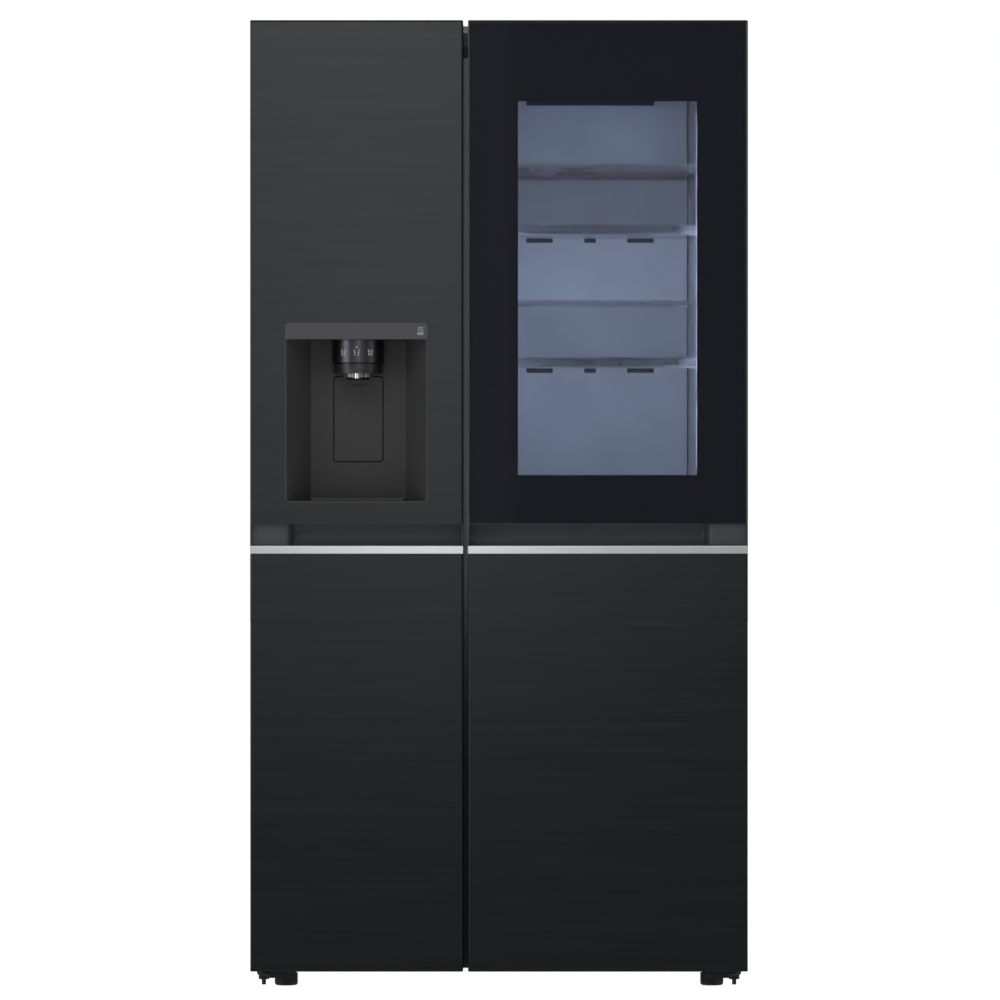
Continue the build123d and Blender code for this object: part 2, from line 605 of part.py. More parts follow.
def door_core(door, upper_front, dispenser=None):
    """Foam block inside a door's skins, cut clear of everything that is set into it."""
    low, high = door_span(door)
    with BuildPart() as core:
        block((low + SKIN, high - SKIN), (FRONT + SKIN, CORE_BACK),
              (DOOR_BOTTOM + CAP, DOOR_TOP - CAP))
        fillet(core.edges().filter_by(Axis.Z).group_by(Axis.Y)[0], radius=SKIN_RADIUS - SKIN)
        cut((low, high), (FRONT, FRONT + CHANNEL_DEPTH), (STRIP_BOTTOM, GROOVE_TOP + SKIN))
        cut((low, high), (FRONT, upper_front), (GROOVE_TOP, DOOR_TOP))
        cut(*hinge_pocket(door, 0))
        cut((door.side * (PIN_X - 20), door.outer), (PIN_Y - 25, PIN_Y + 25),
            (DOOR_BOTTOM, DOOR_BOTTOM + LOWER_BOSS + CAP))
        if door is FREEZER:
            add(dispenser, mode=Mode.SUBTRACT)
            cut((DISPENSER_X - DISPENSER_HALF, DISPENSER_X + DISPENSER_HALF),
                (FRONT, FASCIA_BACK), (FASCIA_BOTTOM, DISPENSER_TOP))
        else:
            cut(*window_span(TUNNEL_MARGIN + TUNNEL_WALL, (FRONT, CORE_BACK)))
    save(core.part, f"{door.name}_door_insulation")


def window_span(grow, y):
    """Span in x, y and z of the window, grown all round."""
    return ((WINDOW_X[0] - grow, WINDOW_X[1] + grow), y, (WINDOW_Z[0] - grow, WINDOW_Z[1] + grow))


def door_liner(door, baskets):
    """White inner face of a door: a flat sheet, and a ring of four raised ribs clipped onto it.

    The side ribs carry the ledges that the baskets rest on.
    """
    low, high = door_span(door)
    hinge_face = door.side * DYKE_HINGE
    ring = tuple(sorted((door.dyke_free, hinge_face)))
    inner = (ring[0] + DYKE_WALL, ring[1] - DYKE_WALL)
    with BuildPart() as liner:
        block(ring, (CORE_BACK, DYKE_BACK), (DYKE_BOTTOM, DYKE_TOP))
        fillet(liner.edges().filter_by(Axis.Y), radius=16)
        fillet(liner.faces().sort_by(Axis.Y)[-1].edges(), radius=7)
        cut(inner, (DOOR_BACK, DYKE_BACK), (DYKE_BOTTOM + DYKE_WALL, DYKE_TOP - DYKE_WALL))
        for seam in (DYKE_BOTTOM + DYKE_WALL, DYKE_TOP - DYKE_WALL - RIB_SEAM):
            cut(ring, (DOOR_BACK, DYKE_BACK), (seam, seam + RIB_SEAM))
        cut(ring, (CORE_BACK, DOOR_BACK + RIB_SEAM), (DYKE_BOTTOM, DYKE_TOP))
        block((low + 3, high - 3), (CORE_BACK, DOOR_BACK),
              (DOOR_BOTTOM + CAP + 2, DOOR_TOP - CAP - 2))
        cut(*hinge_pocket(door, 2))
        for bottom, _, rear in baskets:
            for wall in ((inner[0], inner[0] + 6), (inner[1] - 6, inner[1])):
                block(wall, (BASKET_FRONT, rear - 40), (bottom - 8, bottom))
        if door is FREEZER:
            cut((HEAD_X - 36, HEAD_X + 36), (CORE_BACK, DOOR_BACK), (1218, 1262))
        else:
            cut(*window_span(TUNNEL_MARGIN + TUNNEL_WALL, (CORE_BACK, DOOR_BACK)))
    save(liner.part, f"{door.name}_door_liner")
    return inner


def door_gasket(door):
    """Magnetic seal round the back of a door: a flat foot with a narrower bellows on it."""
    seal = tuple(sorted((door.free + door.side * 2.8, door.side * GASKET_REACH)))
    middle = ((seal[0] + seal[1]) / 2, (GASKET_BOTTOM + GASKET_TOP) / 2)
    size = (seal[1] - seal[0], GASKET_TOP - GASKET_BOTTOM)
    foot = 3.5
    with BuildPart() as gasket:
        for start, height, inset in ((DOOR_BACK, foot, 0), (DOOR_BACK + foot, 0, 2)):
            height = height or GASKET_BACK - start
            with BuildSketch(Plane.XZ.offset(-start)):
                with Locations(middle):
                    RectangleRounded(size[0] - 2 * inset, size[1] - 2 * inset, 8)
                    RectangleRounded(size[0] - 2 * (GASKET_WIDTH - inset),
                                     size[1] - 2 * (GASKET_WIDTH - inset), 5, mode=Mode.SUBTRACT)
            extrude(amount=-height)
    save(gasket.part, f"{door.name}_door_gasket")


def door_baskets(door, inner, baskets):
    """Open topped door baskets, each a separate moulding between the walls of the ring."""
    x = (inner[0] + 0.5, inner[1] - 0.5)
    with BuildPart() as bins:
        for bottom, rim, rear in baskets:
            with BuildSketch(Plane.XY.offset(bottom)):
                with Locations(((x[0] + x[1]) / 2, (BASKET_FRONT + rear) / 2)):
                    Rectangle(x[1] - x[0], rear - BASKET_FRONT)
                fillet(vertices().group_by(Axis.Y)[-1], radius=18)
            extrude(amount=rim - bottom)
        for bottom, rim, rear in baskets:
            with BuildSketch(Plane.XY.offset(bottom + BASKET_WALL)):
                with Locations(((x[0] + x[1]) / 2, (BASKET_FRONT + rear) / 2)):
                    Rectangle(x[1] - x[0] - 2 * BASKET_WALL, rear - BASKET_FRONT - 2 * BASKET_WALL)
                fillet(vertices().group_by(Axis.Y)[-1], radius=18 - BASKET_WALL)
            extrude(amount=rim - bottom, mode=Mode.SUBTRACT)
    save(bins.part, f"{door.name}_door_baskets")


# ---------------------------------------------------------------------- window
def fridge_door_upper_frame():
    """Frame that carries the glass: side walls with front lips, and a backing plate."""
    low, high = door_span(FRIDGE)
    z = (GROOVE_TOP, DOOR_TOP - CAP)
    lips = (1.6, 3.6)                                  # free side, hinge side
    backing = FRONT + GLASS + 1.6
    with BuildPart() as frame:
        block((low, high), (FRONT, CORE_BACK), z)
        fillet(frame.edges().filter_by(Axis.Z).group_by(Axis.Y)[0], radius=2)
        cut((low + lips[0], high - lips[1]), (FRONT, FRONT + GLASS + 0.1), z)
        cut((low + SKIN, high - SKIN), (backing, CORE_BACK), (z[0] + SKIN, z[1]))
        cut((low + SKIN, high - SKIN), (FRONT + CHANNEL_DEPTH, CORE_BACK), (z[0], z[0] + SKIN))
        cut(*window_span(TUNNEL_MARGIN, (FRONT, backing)))
        cut(*hinge_pocket(FRIDGE, 0))
    save(frame.part, "fridge_door_upper_frame")
    return (low + lips[0] + 0.4, high - lips[1] - 0.4), backing


def fridge_door_glass(x):
    """Tempered front glass of the upper half of the fridge door."""
    with BuildPart() as glass:
        block(x, (FRONT, FRONT + GLASS), (GROOVE_TOP + 0.6, DOOR_TOP - CAP - 0.6))
        fillet(glass.edges().filter_by(Axis.Y), radius=2)
        chamfer(glass.faces().sort_by(Axis.Y)[0].edges(), length=0.6)
    save(glass.part, "fridge_door_glass")


def window_frame(backing):
    """Black frame that lines the window tunnel through the foam, with a flange inside."""
    outer, inner = TUNNEL_MARGIN + TUNNEL_WALL, TUNNEL_MARGIN
    with BuildPart() as frame:
        block(*window_span(outer, (backing, DOOR_BACK)))
        cut(*window_span(inner, (backing, DOOR_BACK)))
        for y in ((-302, -296), (-280, -276), (-268, DOOR_BACK)):      # pane seats
            block(*window_span(inner, y))
            cut(*window_span(inner - PANE_SEAT, y))
    save(frame.part, "window_frame")


def window_inner_glass():
    """Two inner panes of the window, apart from each other in the frame."""
    with BuildPart() as panes:
        for y in ((-296, -292), (-276, -272)):
            block(*window_span(TUNNEL_MARGIN - 0.5, y))
    save(panes.part, "window_inner_glass")


# ------------------------------------------------------------------- dispenser
def recess(grow, front, back):
    """Lofted body of the dispenser recess, narrower at the back, grown by a wall thickness."""
    low, high = DISPENSER_BOTTOM + 3, FASCIA_BOTTOM
    middle, tall = (low + high) / 2, high - low + 2 * grow
    with BuildPart() as body:
        for y, centre, half in ((front, DISPENSER_X, DISPENSER_HALF - 3),
                                (back, HEAD_X, RECESS_BACK_HALF)):
            with BuildSketch(Plane.XZ.offset(-y)):
                with Locations((centre, middle)):
                    RectangleRounded(2 * (half + grow), tall, 3 + grow)
        loft()
    return body.part


def ice_duct(grow, low):
    """Sloping duct from the ice bin down to the recess, in the open part."""
    with BuildSketch(Plane.YZ.offset(HEAD_X - 36 - grow)) as outline:
        with BuildLine():
            Polyline((-342 - grow, low), (-342 - grow, 1216), (-306, 1260 + grow),
                     (DOOR_BACK, 1260 + grow), (DOOR_BACK, 1220 - grow), (-284 + grow, 1206),
                     (-284 + grow, low), close=True)
        make_face()
    extrude(outline.sketch, amount=72 + 2 * grow,
            mode=Mode.ADD if grow == 0 else Mode.SUBTRACT)


def housing_envelope():
    """Outside of the dispenser housing: flange, sloping body, paddle pocket and ice duct."""
    body = recess(HOUSING_WALL, FRONT + SKIN, RECESS_BACK + HOUSING_WALL)
    half = PADDLE_HALF + PADDLE_GAP + HOUSING_WALL
    with BuildPart() as envelope:
        add(body)
        with BuildSketch(Plane.XZ.offset(-FRONT)):
            with Locations((DISPENSER_X, (DISPENSER_BOTTOM + FASCIA_BOTTOM) / 2)):
                Rectangle(2 * DISPENSER_HALF, FASCIA_BOTTOM - DISPENSER_BOTTOM)
            fillet(vertices().group_by(Axis.Z)[0], radius=4)
        extrude(amount=-2)
        block((HEAD_X - half, HEAD_X + half),
              (RECESS_BACK, RECESS_BACK + PADDLE_POCKET + HOUSING_WALL),
              (PADDLE_BOTTOM - PADDLE_GAP - HOUSING_WALL, PADDLE_TOP + PADDLE_GAP + HOUSING_WALL))
        ice_duct(0, FASCIA_BOTTOM + 1)
        cut((DISPENSER_X - DISPENSER_HALF, DISPENSER_X + DISPENSER_HALF),
            (FRONT, FASCIA_LIP), (FASCIA_BOTTOM, DISPENSER_TOP))
    return envelope.part


def dispenser_housing(envelope):
    """Moulded recess in the freezer door: flange, sloping sides, paddle pocket and ice duct."""
    inner = recess(0, FRONT, RECESS_BACK)
    half = PADDLE_HALF + PADDLE_GAP
    with BuildPart() as housing:
        add(envelope)
        ice_duct(-HOUSING_WALL, FASCIA_BOTTOM - 8)
        add(inner, mode=Mode.SUBTRACT)
        with BuildSketch(Plane.XZ.offset(-RECESS_BACK + 1)):
            with Locations((HEAD_X, (PADDLE_BOTTOM + PADDLE_TOP) / 2)):
                RectangleRounded(2 * half, PADDLE_TOP - PADDLE_BOTTOM + 2 * PADDLE_GAP, 7.6)
        extrude(amount=-PADDLE_POCKET - 1, mode=Mode.SUBTRACT)
        with Locations((HEAD_X, PADDLE_PIN_Y, PADDLE_PIN_Z)):
            Cylinder(PADDLE_BORE_RADIUS, 2 * (half + 2.2), rotation=(0, 90, 0),
                     mode=Mode.SUBTRACT)
    save(housing.part, "dispenser_housing")


def dispenser_fascia():
    """Control panel above the recess: a shallow moulded cover that stands a little proud."""
    x = (DISPENSER_X - DISPENSER_HALF, DISPENSER_X + DISPENSER_HALF)
    front, back = FRONT - FASCIA_PROUD, FASCIA_BACK
    with BuildPart() as fascia:
        block(x, (front, back), (FASCIA_BOTTOM, DISPENSER_TOP))
        fillet(fascia.edges().filter_by(Axis.Y).group_by(Axis.Z)[-1], radius=4.5)
        fillet(fascia.faces().sort_by(Axis.Y)[0].edges(), radius=0.8)
        cut((x[0] + 3, x[1] - 3), (front + 4, back), (FASCIA_BOTTOM + 5, DISPENSER_TOP - 3))
        cut((x[0] + 3, x[1] - 3), (FASCIA_LIP, back), (FASCIA_BOTTOM, DISPENSER_TOP - 3))
        cut(x, (FASCIA_LIP, back), (FASCIA_BOTTOM, FASCIA_BOTTOM + HOUSING_WALL))
    save(fascia.part, "dispenser_fascia")


def keep_front_of_recess():
    """Trims the open part flat, just clear of the recess's rear wall and the paddle."""
    cut((HEAD_X - 60, HEAD_X + 60), (RECESS_BACK - 2, RECESS_BACK + 60), (1100, 1300))


def dispenser_head():
    """Round selector head that hangs under the fascia."""
    with BuildPart() as head:
        rod((HEAD_X, HEAD_Y), HEAD_RADIUS, (HEAD_BOTTOM, FASCIA_BOTTOM))
        fillet(head.edges().filter_by(GeomType.CIRCLE).group_by(Axis.Z)[0], radius=2)
        rod((HEAD_X, HEAD_Y), 36, (HEAD_BOTTOM, FASCIA_BOTTOM), Mode.SUBTRACT)
        keep_front_of_recess()
    save(head.part, "dispenser_head")


def dispenser_collar():
    """Ribbed collar under the head, stepping down to the round ice outlet."""
    spot = (HEAD_X, HEAD_Y)
    top = HEAD_BOTTOM
    with BuildPart() as collar:
        rod(spot, 43.5, (top - 1.3, top))
        rod(spot, 45, (top - 18, top - 1.3))
        for rib in range(5):                            # fine grooves round the collar
            with BuildSketch(Plane.XY.offset(top - 5 - 3 * rib)):
                with Locations(spot):
                    Circle(46)
                    Circle(44.5, mode=Mode.SUBTRACT)
            extrude(amount=0.6, mode=Mode.SUBTRACT)
        rod(spot, 29, (top - 25, top - 18))
        rod(spot, 20, (top - 29, top - 25))
        rod(spot, 17, (top - 30, top), Mode.SUBTRACT)
        rod((HEAD_X - 1.6, HEAD_Y - 25), 6.4, (top - 30, top - 4), Mode.SUBTRACT)
        keep_front_of_recess()
    save(collar.part, "dispenser_collar")


def dispenser_nozzle():
    """Bright water tube in front of the ice outlet."""
    spot = (HEAD_X - 1.6, HEAD_Y - 25)
    with BuildPart() as nozzle:
        rod(spot, 6.1, (HEAD_BOTTOM - 28, HEAD_BOTTOM - 4))
        chamfer(nozzle.edges().filter_by(GeomType.CIRCLE).group_by(Axis.Z)[0], length=0.8)
        rod(spot, 3.5, (HEAD_BOTTOM - 28, HEAD_BOTTOM - 8), Mode.SUBTRACT)
    save(nozzle.part, "dispenser_nozzle")


def dispenser_paddle():
    """Push plate in the rear wall of the recess, which swings back from its top edge."""
    with BuildPart() as paddle:
        with BuildSketch(Plane.XZ.offset(-RECESS_BACK + 1)):
            with Locations((HEAD_X, (PADDLE_BOTTOM + PADDLE_TOP) / 2)):
                RectangleRounded(2 * PADDLE_HALF, PADDLE_TOP - PADDLE_BOTTOM, 6)
        extrude(amount=-PADDLE_THICK)
        fillet(paddle.faces().sort_by(Axis.Y)[0].edges(), radius=0.6)
        cut((HEAD_X - 12, HEAD_X + 12), (RECESS_BACK - 2, RECESS_BACK), (1110.8, 1112.8))
        with Locations((HEAD_X, PADDLE_PIN_Y, PADDLE_PIN_Z)):
            Cylinder(PADDLE_PIN_RADIUS, 2 * (PADDLE_HALF + PADDLE_GAP + 2), rotation=(0, 90, 0))
    save(paddle.part, "dispenser_paddle")


def dispenser_drip_tray():
    """Lift out tray with a slotted top, on the floor of the recess."""
    x = (HEAD_X - 86, HEAD_X + 86)
    low = DISPENSER_BOTTOM + 3
    with BuildPart() as tray:
        block(x, (-360, RECESS_BACK - 3), (low, low + 6))
        fillet(tray.edges().filter_by(Axis.Z), radius=4)
        with Locations((HEAD_X, (-360 + RECESS_BACK - 3) / 2, low + 5)):
            with GridLocations(0, 8, 1, 6):
                Box(140, 3.5, 6, mode=Mode.SUBTRACT)
    save(tray.part, "dispenser_drip_tray")


# -------------------------------------------------------------------- ice unit
def ice_bin(inner):
    """Ice bucket on the freezer door, with an outlet to the dispenser duct."""
    x, y, z = (inner[0] + 0.5, inner[1] - 0.5), (BASKET_FRONT, -165.0), (1212.0, 1440.0)
    with BuildPart() as bucket:
        block(x, y, z)
        fillet(bucket.edges().filter_by(Axis.Z).group_by(Axis.Y)[-1], radius=18)
        cut((x[0] + 4, x[1] - 4), (y[0] + 4, y[1] - 4), (z[0] + 4, z[1]))
        cut((HEAD_X - 33, HEAD_X + 33), (y[0], y[0] + 5), (1222, 1258))
    save(bucket.part, "ice_bin")


def ice_maker(inner):
    """Ice maker above the bin: cover with a hinged looking front rib and a tray below it."""
    x = (inner[0] + 0.5, inner[1] - 0.5)
    with BuildPart() as maker:
        block(x, (BASKET_FRONT, -165.0), (1500, 1665))
        fillet(maker.edges().filter_by(Axis.Z).group_by(Axis.Y)[-1], radius=18)
        cut((x[0] + 26, x[1] - 26), (-169, -165), (1530, 1640))
        block((x[0] + 30, x[1] - 60), (-250, -182), (1462, 1500))
        cut((x[0] + 34, x[1] - 64), (-246, -186), (1458, 1490))
    save(maker.part, "ice_maker")


# ------------------------------------------------------------------------ build
os.makedirs("parts", exist_ok=True)

cabinet_case()
cabinet_insulation()
compartment_liner(FREEZER, FREEZER_SHELF_Z, ((392.0, 270.0),))
compartment_liner(FRIDGE, FRIDGE_SHELF_Z, ((372.0, 270.0),))
mullion_strip()
rear_panel()
machine_cover()
top_covers()
upper_hinges()
lower_hinges()
hinge_adjusting_bolts()
base_frame()
rear_rollers()
levelling_feet()
compressor()
condenser()
condenser_fan_shroud()
condenser_fan()
duct_panel(FRIDGE, (-11.7, 367.7), 177.7, FRIDGE_VENT_Z)
duct_panel(FREEZER, (-345.0, -145.0), -245.0, FREEZER_VENT_Z)
ceiling_light()
shelves(FRIDGE, FRIDGE_SHELF_Z)
shelves(FREEZER, FREEZER_SHELF_Z)
fridge_shelf_trims()
drawer("fridge_drawer_upper", FRIDGE, (372.0, 582.0), 270.0)
drawer("fridge_drawer_lower", FRIDGE, (FLOOR_Z, 340.0), 118.0)
drawer("freezer_drawer_upper", FREEZER, (392.0, 690.0), 270.0)
drawer("freezer_drawer_lower", FREEZER, (FLOOR_Z, 340.0), 118.0)

glass_x, backing_back = fridge_door_upper_frame()
fridge_door_glass(glass_x)
window_frame(backing_back)
window_inner_glass()
dispenser_opening = ((DISPENSER_X - DISPENSER_HALF, DISPENSER_X + DISPENSER_HALF),
                     (DISPENSER_BOTTOM, DISPENSER_TOP))
save(steel_skin(FREEZER, (GROOVE_TOP, DOOR_TOP - CAP), dispenser_opening),
     "freezer_door_upper_panel")
for one_door in (FREEZER, FRIDGE):
    save(steel_skin(one_door, (DOOR_BOTTOM + CAP, STRIP_BOTTOM)),
         f"{one_door.name}_door_lower_panel")
    handle_channel(one_door)
    trim_strip(one_door)
    end_caps(one_door)
    door_gasket(one_door)
dispenser_envelope = housing_envelope()
door_core(FREEZER, FRONT + SKIN, dispenser_envelope)
door_core(FRIDGE, backing_back)
freezer_inner = door_liner(FREEZER, FREEZER_BASKETS)
fridge_inner = door_liner(FRIDGE, FRIDGE_BASKETS)
door_baskets(FREEZER, freezer_inner, FREEZER_BASKETS)
door_baskets(FRIDGE, fridge_inner, FRIDGE_BASKETS)

dispenser_housing(dispenser_envelope)
dispenser_fascia()
dispenser_head()
dispenser_collar()
dispenser_nozzle()
dispenser_paddle()
dispenser_drip_tray()
ice_bin(freezer_inner)
ice_maker(freezer_inner)
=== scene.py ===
import math

import bmesh
import bpy
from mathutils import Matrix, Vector


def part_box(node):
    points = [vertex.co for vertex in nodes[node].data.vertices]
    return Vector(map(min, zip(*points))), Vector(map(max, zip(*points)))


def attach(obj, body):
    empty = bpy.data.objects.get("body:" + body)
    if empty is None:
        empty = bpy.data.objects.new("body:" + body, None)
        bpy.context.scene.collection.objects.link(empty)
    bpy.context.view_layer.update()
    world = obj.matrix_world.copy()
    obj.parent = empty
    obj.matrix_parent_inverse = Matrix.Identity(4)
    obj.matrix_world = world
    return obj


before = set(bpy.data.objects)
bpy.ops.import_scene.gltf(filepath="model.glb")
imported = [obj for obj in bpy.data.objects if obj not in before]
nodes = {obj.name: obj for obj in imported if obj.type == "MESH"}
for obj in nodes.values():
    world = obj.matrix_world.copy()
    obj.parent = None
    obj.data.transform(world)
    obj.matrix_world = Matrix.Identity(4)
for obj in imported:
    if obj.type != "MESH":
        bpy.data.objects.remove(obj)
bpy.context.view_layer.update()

# ---------------------------------------------------------------- node helpers


class Shader:
    """Builds one procedural material, a node at a time."""

    def __init__(self, name, color, metallic=0.0, roughness=0.5, **sockets):
        self.mat = bpy.data.materials.new(name)
        self.mat.use_nodes = True
        self.tree = self.mat.node_tree
        self.tree.nodes.clear()
        self.out = self.tree.nodes.new("ShaderNodeOutputMaterial")
        self.bsdf = self.tree.nodes.new("ShaderNodeBsdfPrincipled")
        self.tree.links.new(self.bsdf.outputs[0], self.out.inputs[0])
        self.set("Base Color", (*color, 1.0))
        self.set("Metallic", metallic)
        self.set("Roughness", roughness)
        for key, value in sockets.items():
            self.set(key.replace("_", " "), value)
        self.mat.diffuse_color = (*color, 1.0)
        self.space = self.tree.nodes.new("ShaderNodeTexCoord").outputs["Object"]

    def set(self, socket, value):
        self.bsdf.inputs[socket].default_value = value

    def link(self, a, b):
        self.tree.links.new(a, b)

    def put(self, socket, value):
        if isinstance(value, bpy.types.NodeSocket):
            self.link(value, socket)
        else:
            socket.default_value = value

    def scaled(self, scale):
        """Object coordinates in metres, stretched by scale."""
        n = self.tree.nodes.new("ShaderNodeMapping")
        n.inputs["Scale"].default_value = scale
        self.link(self.space, n.inputs["Vector"])
        return n.outputs[0]

    def noise(self, scale, detail):
        n = self.tree.nodes.new("ShaderNodeTexNoise")
        n.inputs["Scale"].default_value = 1.0
        n.inputs["Detail"].default_value = detail
        n.inputs["Roughness"].default_value = 0.55
        self.link(self.scaled(scale), n.inputs["Vector"])
        return n.outputs["Fac"]

    def remap(self, value, low, high, to_low, to_high):
        n = self.tree.nodes.new("ShaderNodeMapRange")
        for i, v in enumerate((value, low, high, to_low, to_high)):
            self.put(n.inputs[i], v)
        return n.outputs[0]

    def math(self, op, a, b):
        n = self.tree.nodes.new("ShaderNodeMath")
        n.operation = op
        self.put(n.inputs[0], a)
        self.put(n.inputs[1], b)
        return n.outputs[0]

    def axis(self, which):
        n = self.tree.nodes.new("ShaderNodeSeparateXYZ")
        self.link(self.space, n.inputs[0])
        return n.outputs[which]

    def mix(self, factor, a, b):
        n = self.tree.nodes.new("ShaderNodeMix")
        n.data_type = "RGBA"
        self.put(n.inputs[0], factor)
        for socket, value in ((n.inputs[6], a), (n.inputs[7], b)):
            if isinstance(value, tuple):
                socket.default_value = (*value, 1.0)
            else:
                self.link(value, socket)
        return n.outputs[2]

    def color(self, value):
        self.link(value, self.bsdf.inputs["Base Color"])

    def rough(self, value):
        self.link(value, self.bsdf.inputs["Roughness"])

    def bump(self, height, distance, strength):
        n = self.tree.nodes.new("ShaderNodeBump")
        n.inputs["Distance"].default_value = distance
        n.inputs["Strength"].default_value = strength
        self.link(height, n.inputs["Height"])
        self.link(n.outputs[0], self.bsdf.inputs["Normal"])


def brushed(name, color, roughness, grain, along="x"):
    """Brushed metal: long fine streaks that change colour and roughness a little."""
    s = Shader(name, color, 1.0, roughness)
    fine = {"x": (5.0, 900.0, 900.0), "z": (900.0, 900.0, 5.0)}[along]
    broad = {"x": (1.5, 160.0, 160.0), "z": (160.0, 160.0, 1.5)}[along]
    streak = s.math("ADD", s.math("MULTIPLY", s.noise(fine, 2.0), 0.65),
                    s.math("MULTIPLY", s.noise(broad, 3.0), 0.35))
    dark = tuple(c * (1 - grain) for c in color)
    light = tuple(c * (1 + grain) for c in color)
    s.color(s.mix(s.remap(streak, 0.3, 0.7, 0.0, 1.0), dark, light))
    s.rough(s.remap(streak, 0.3, 0.7, roughness - 0.04, roughness + 0.05))
    s.bump(streak, 0.00002, 0.35)
    return s.mat


def moulded(name, color, roughness, texture=0.00004, size=1400.0, speckle=0.08, **sockets):
    """Moulded plastic with a fine grain and faint wide variation in its sheen."""
    s = Shader(name, color, 0.0, roughness, **sockets)
    grain = s.noise((size,) * 3, 2.0)
    cloud = s.noise((7.0,) * 3, 4.0)
    dark = tuple(c * (1 - speckle) for c in color)
    light = tuple(min(c * (1 + speckle), 1.0) for c in color)
    s.color(s.mix(s.remap(s.math("ADD", s.math("MULTIPLY", grain, 0.6),
                                 s.math("MULTIPLY", cloud, 0.4)), 0.3, 0.7, 0.0, 1.0), dark, light))
    s.rough(s.remap(cloud, 0.3, 0.7, roughness - 0.05, roughness + 0.07))
    s.bump(grain, texture, 0.5)
    return s.mat


def clear(name, color, alpha, roughness=0.12, **sockets):
    """Clear moulded plastic or glass, by alpha, or by transmission where alpha is 1."""
    s = Shader(name, color, 0.0, roughness, Alpha=alpha, **sockets)
    cloud = s.noise((9.0,) * 3, 3.0)
    s.rough(s.remap(cloud, 0.3, 0.7, roughness * 0.7, roughness * 1.4))
    s.color(s.mix(s.remap(cloud, 0.3, 0.7, 0.0, 1.0), tuple(c * 0.94 for c in color), color))
    s.mat.blend_method = "BLEND"
    return s.mat


# ------------------------------------------------------------------- materials
steel = brushed("black_brushed_steel", (0.0505, 0.0530, 0.0570), 0.40, grain=0.16)
frame_metal = brushed("door_edge_metal", (0.10, 0.10, 0.105), 0.38, grain=0.12)
strip_metal = brushed("bright_strip_metal", (0.83, 0.85, 0.87), 0.30, grain=0.05)
zinc = brushed("zinc_plated_steel", (0.52, 0.53, 0.55), 0.38, grain=0.12)
hinge_metal = brushed("dark_zinc_steel", (0.10, 0.10, 0.105), 0.42, grain=0.2)
aluminium = brushed("condenser_aluminium", (0.62, 0.63, 0.65), 0.42, grain=0.15, along="z")
chrome = brushed("nozzle_chrome", (0.86, 0.87, 0.88), 0.09, grain=0.03, along="z")

cabinet_paint = moulded("cabinet_paint", (0.055, 0.056, 0.060), 0.46, 0.00006, 420.0, 0.05)
mullion_paint = brushed("mullion_paint", (0.090, 0.091, 0.096), 0.22, grain=0.06, along="z")
rear_paint = brushed("galvanised_sheet", (0.42, 0.43, 0.45), 0.50, grain=0.10, along="z")
channel_plastic = moulded("groove_plastic", (0.032, 0.033, 0.037), 0.42, speckle=0.06,
                          Specular_IOR_Level=0.3)
cap_plastic = moulded("cap_plastic", (0.008, 0.008, 0.009), 0.5, Specular_IOR_Level=0.12)
cover_plastic = moulded("cover_plastic", (0.045, 0.045, 0.049), 0.34)
foot_plastic = moulded("foot_plastic", (0.012, 0.012, 0.013), 0.42)
white_plastic = moulded("white_plastic", (0.82, 0.84, 0.86), 0.36, 0.00003, 1100.0, 0.02)
# the liners' white plastic, painted darker on the doors as shade against the strong light falling on
# them when open; the ice maker shares it
door_liner_shaded_white = moulded("door_liner_shaded_white_plastic", (0.50, 0.515, 0.53), 0.42, 0.00003, 1100.0, 0.02)
duct_plastic = moulded("duct_plastic", (0.78, 0.80, 0.83), 0.40, 0.00003, 1100.0, 0.02)
black_paint = moulded("compressor_paint", (0.015, 0.015, 0.016), 0.32, 0.00008, 300.0, 0.10)
recess_plastic = moulded("recess_plastic", (0.026, 0.026, 0.026), 0.5, 0.00003, 1500.0, 0.05,
                         Specular_IOR_Level=0.14)
paddle_plastic = moulded("paddle_plastic", (0.026, 0.026, 0.026), 0.5, 0.00003, 1500.0, 0.05,
                         Specular_IOR_Level=0.14)
fascia_plastic = moulded("fascia_plastic", (0.036, 0.035, 0.0385), 0.36, 0.00002, 1500.0, 0.04,
                         Specular_IOR_Level=0.25)
print_black = moulded("black_ceramic_print", (0.0085, 0.0092, 0.0130), 0.5, 0.0, 900.0, 0.05,
                      Specular_IOR_Level=0.05)
frame_black = moulded("window_frame_plastic", (0.012, 0.012, 0.015), 0.35)
# dark blue-grey painted shade, standing in for the shadow inside vent slots and gaps
painted_vent_shade = moulded("vent_shadow_plastic", (0.030, 0.036, 0.060), 0.55)
icon_lit = moulded("icon_lit", (0.20, 0.20, 0.21), 0.5, 0.0, 900.0, 0.02)
icon_dim = moulded("icon_dim", (0.17, 0.17, 0.18), 0.5, 0.0, 900.0, 0.02)

basket_clear = clear("basket_plastic", (0.80, 0.86, 0.95), 0.03)
# near-white frosted strips, a painted highlight along the basket edges
basket_rim_highlight = clear("basket_rim_plastic", (0.96, 0.98, 1.0), 1.0, 0.30, Transmission_Weight=0.9)
drawer_clear = clear("drawer_plastic", (0.78, 0.84, 0.92), 0.26)
shelf_glass = clear("shelf_glass", (0.60, 0.74, 0.76), 0.14, 0.05)
inner_glass = clear("window_pane", (0.97, 0.98, 1.0), 1.0, 0.0, Transmission_Weight=1.0)
front_glass = clear("front_glass", (0.010, 0.011, 0.016), 0.32, 0.035, Specular_IOR_Level=0.07)
lamp_cover = clear("lamp_cover", (0.90, 0.94, 1.0), 0.75, 0.3, Emission_Strength=0.8)
lamp_shader = lamp_cover.node_tree.nodes["Principled BSDF"]
lamp_shader.inputs["Emission Color"].default_value = (0.8, 0.9, 1, 1)


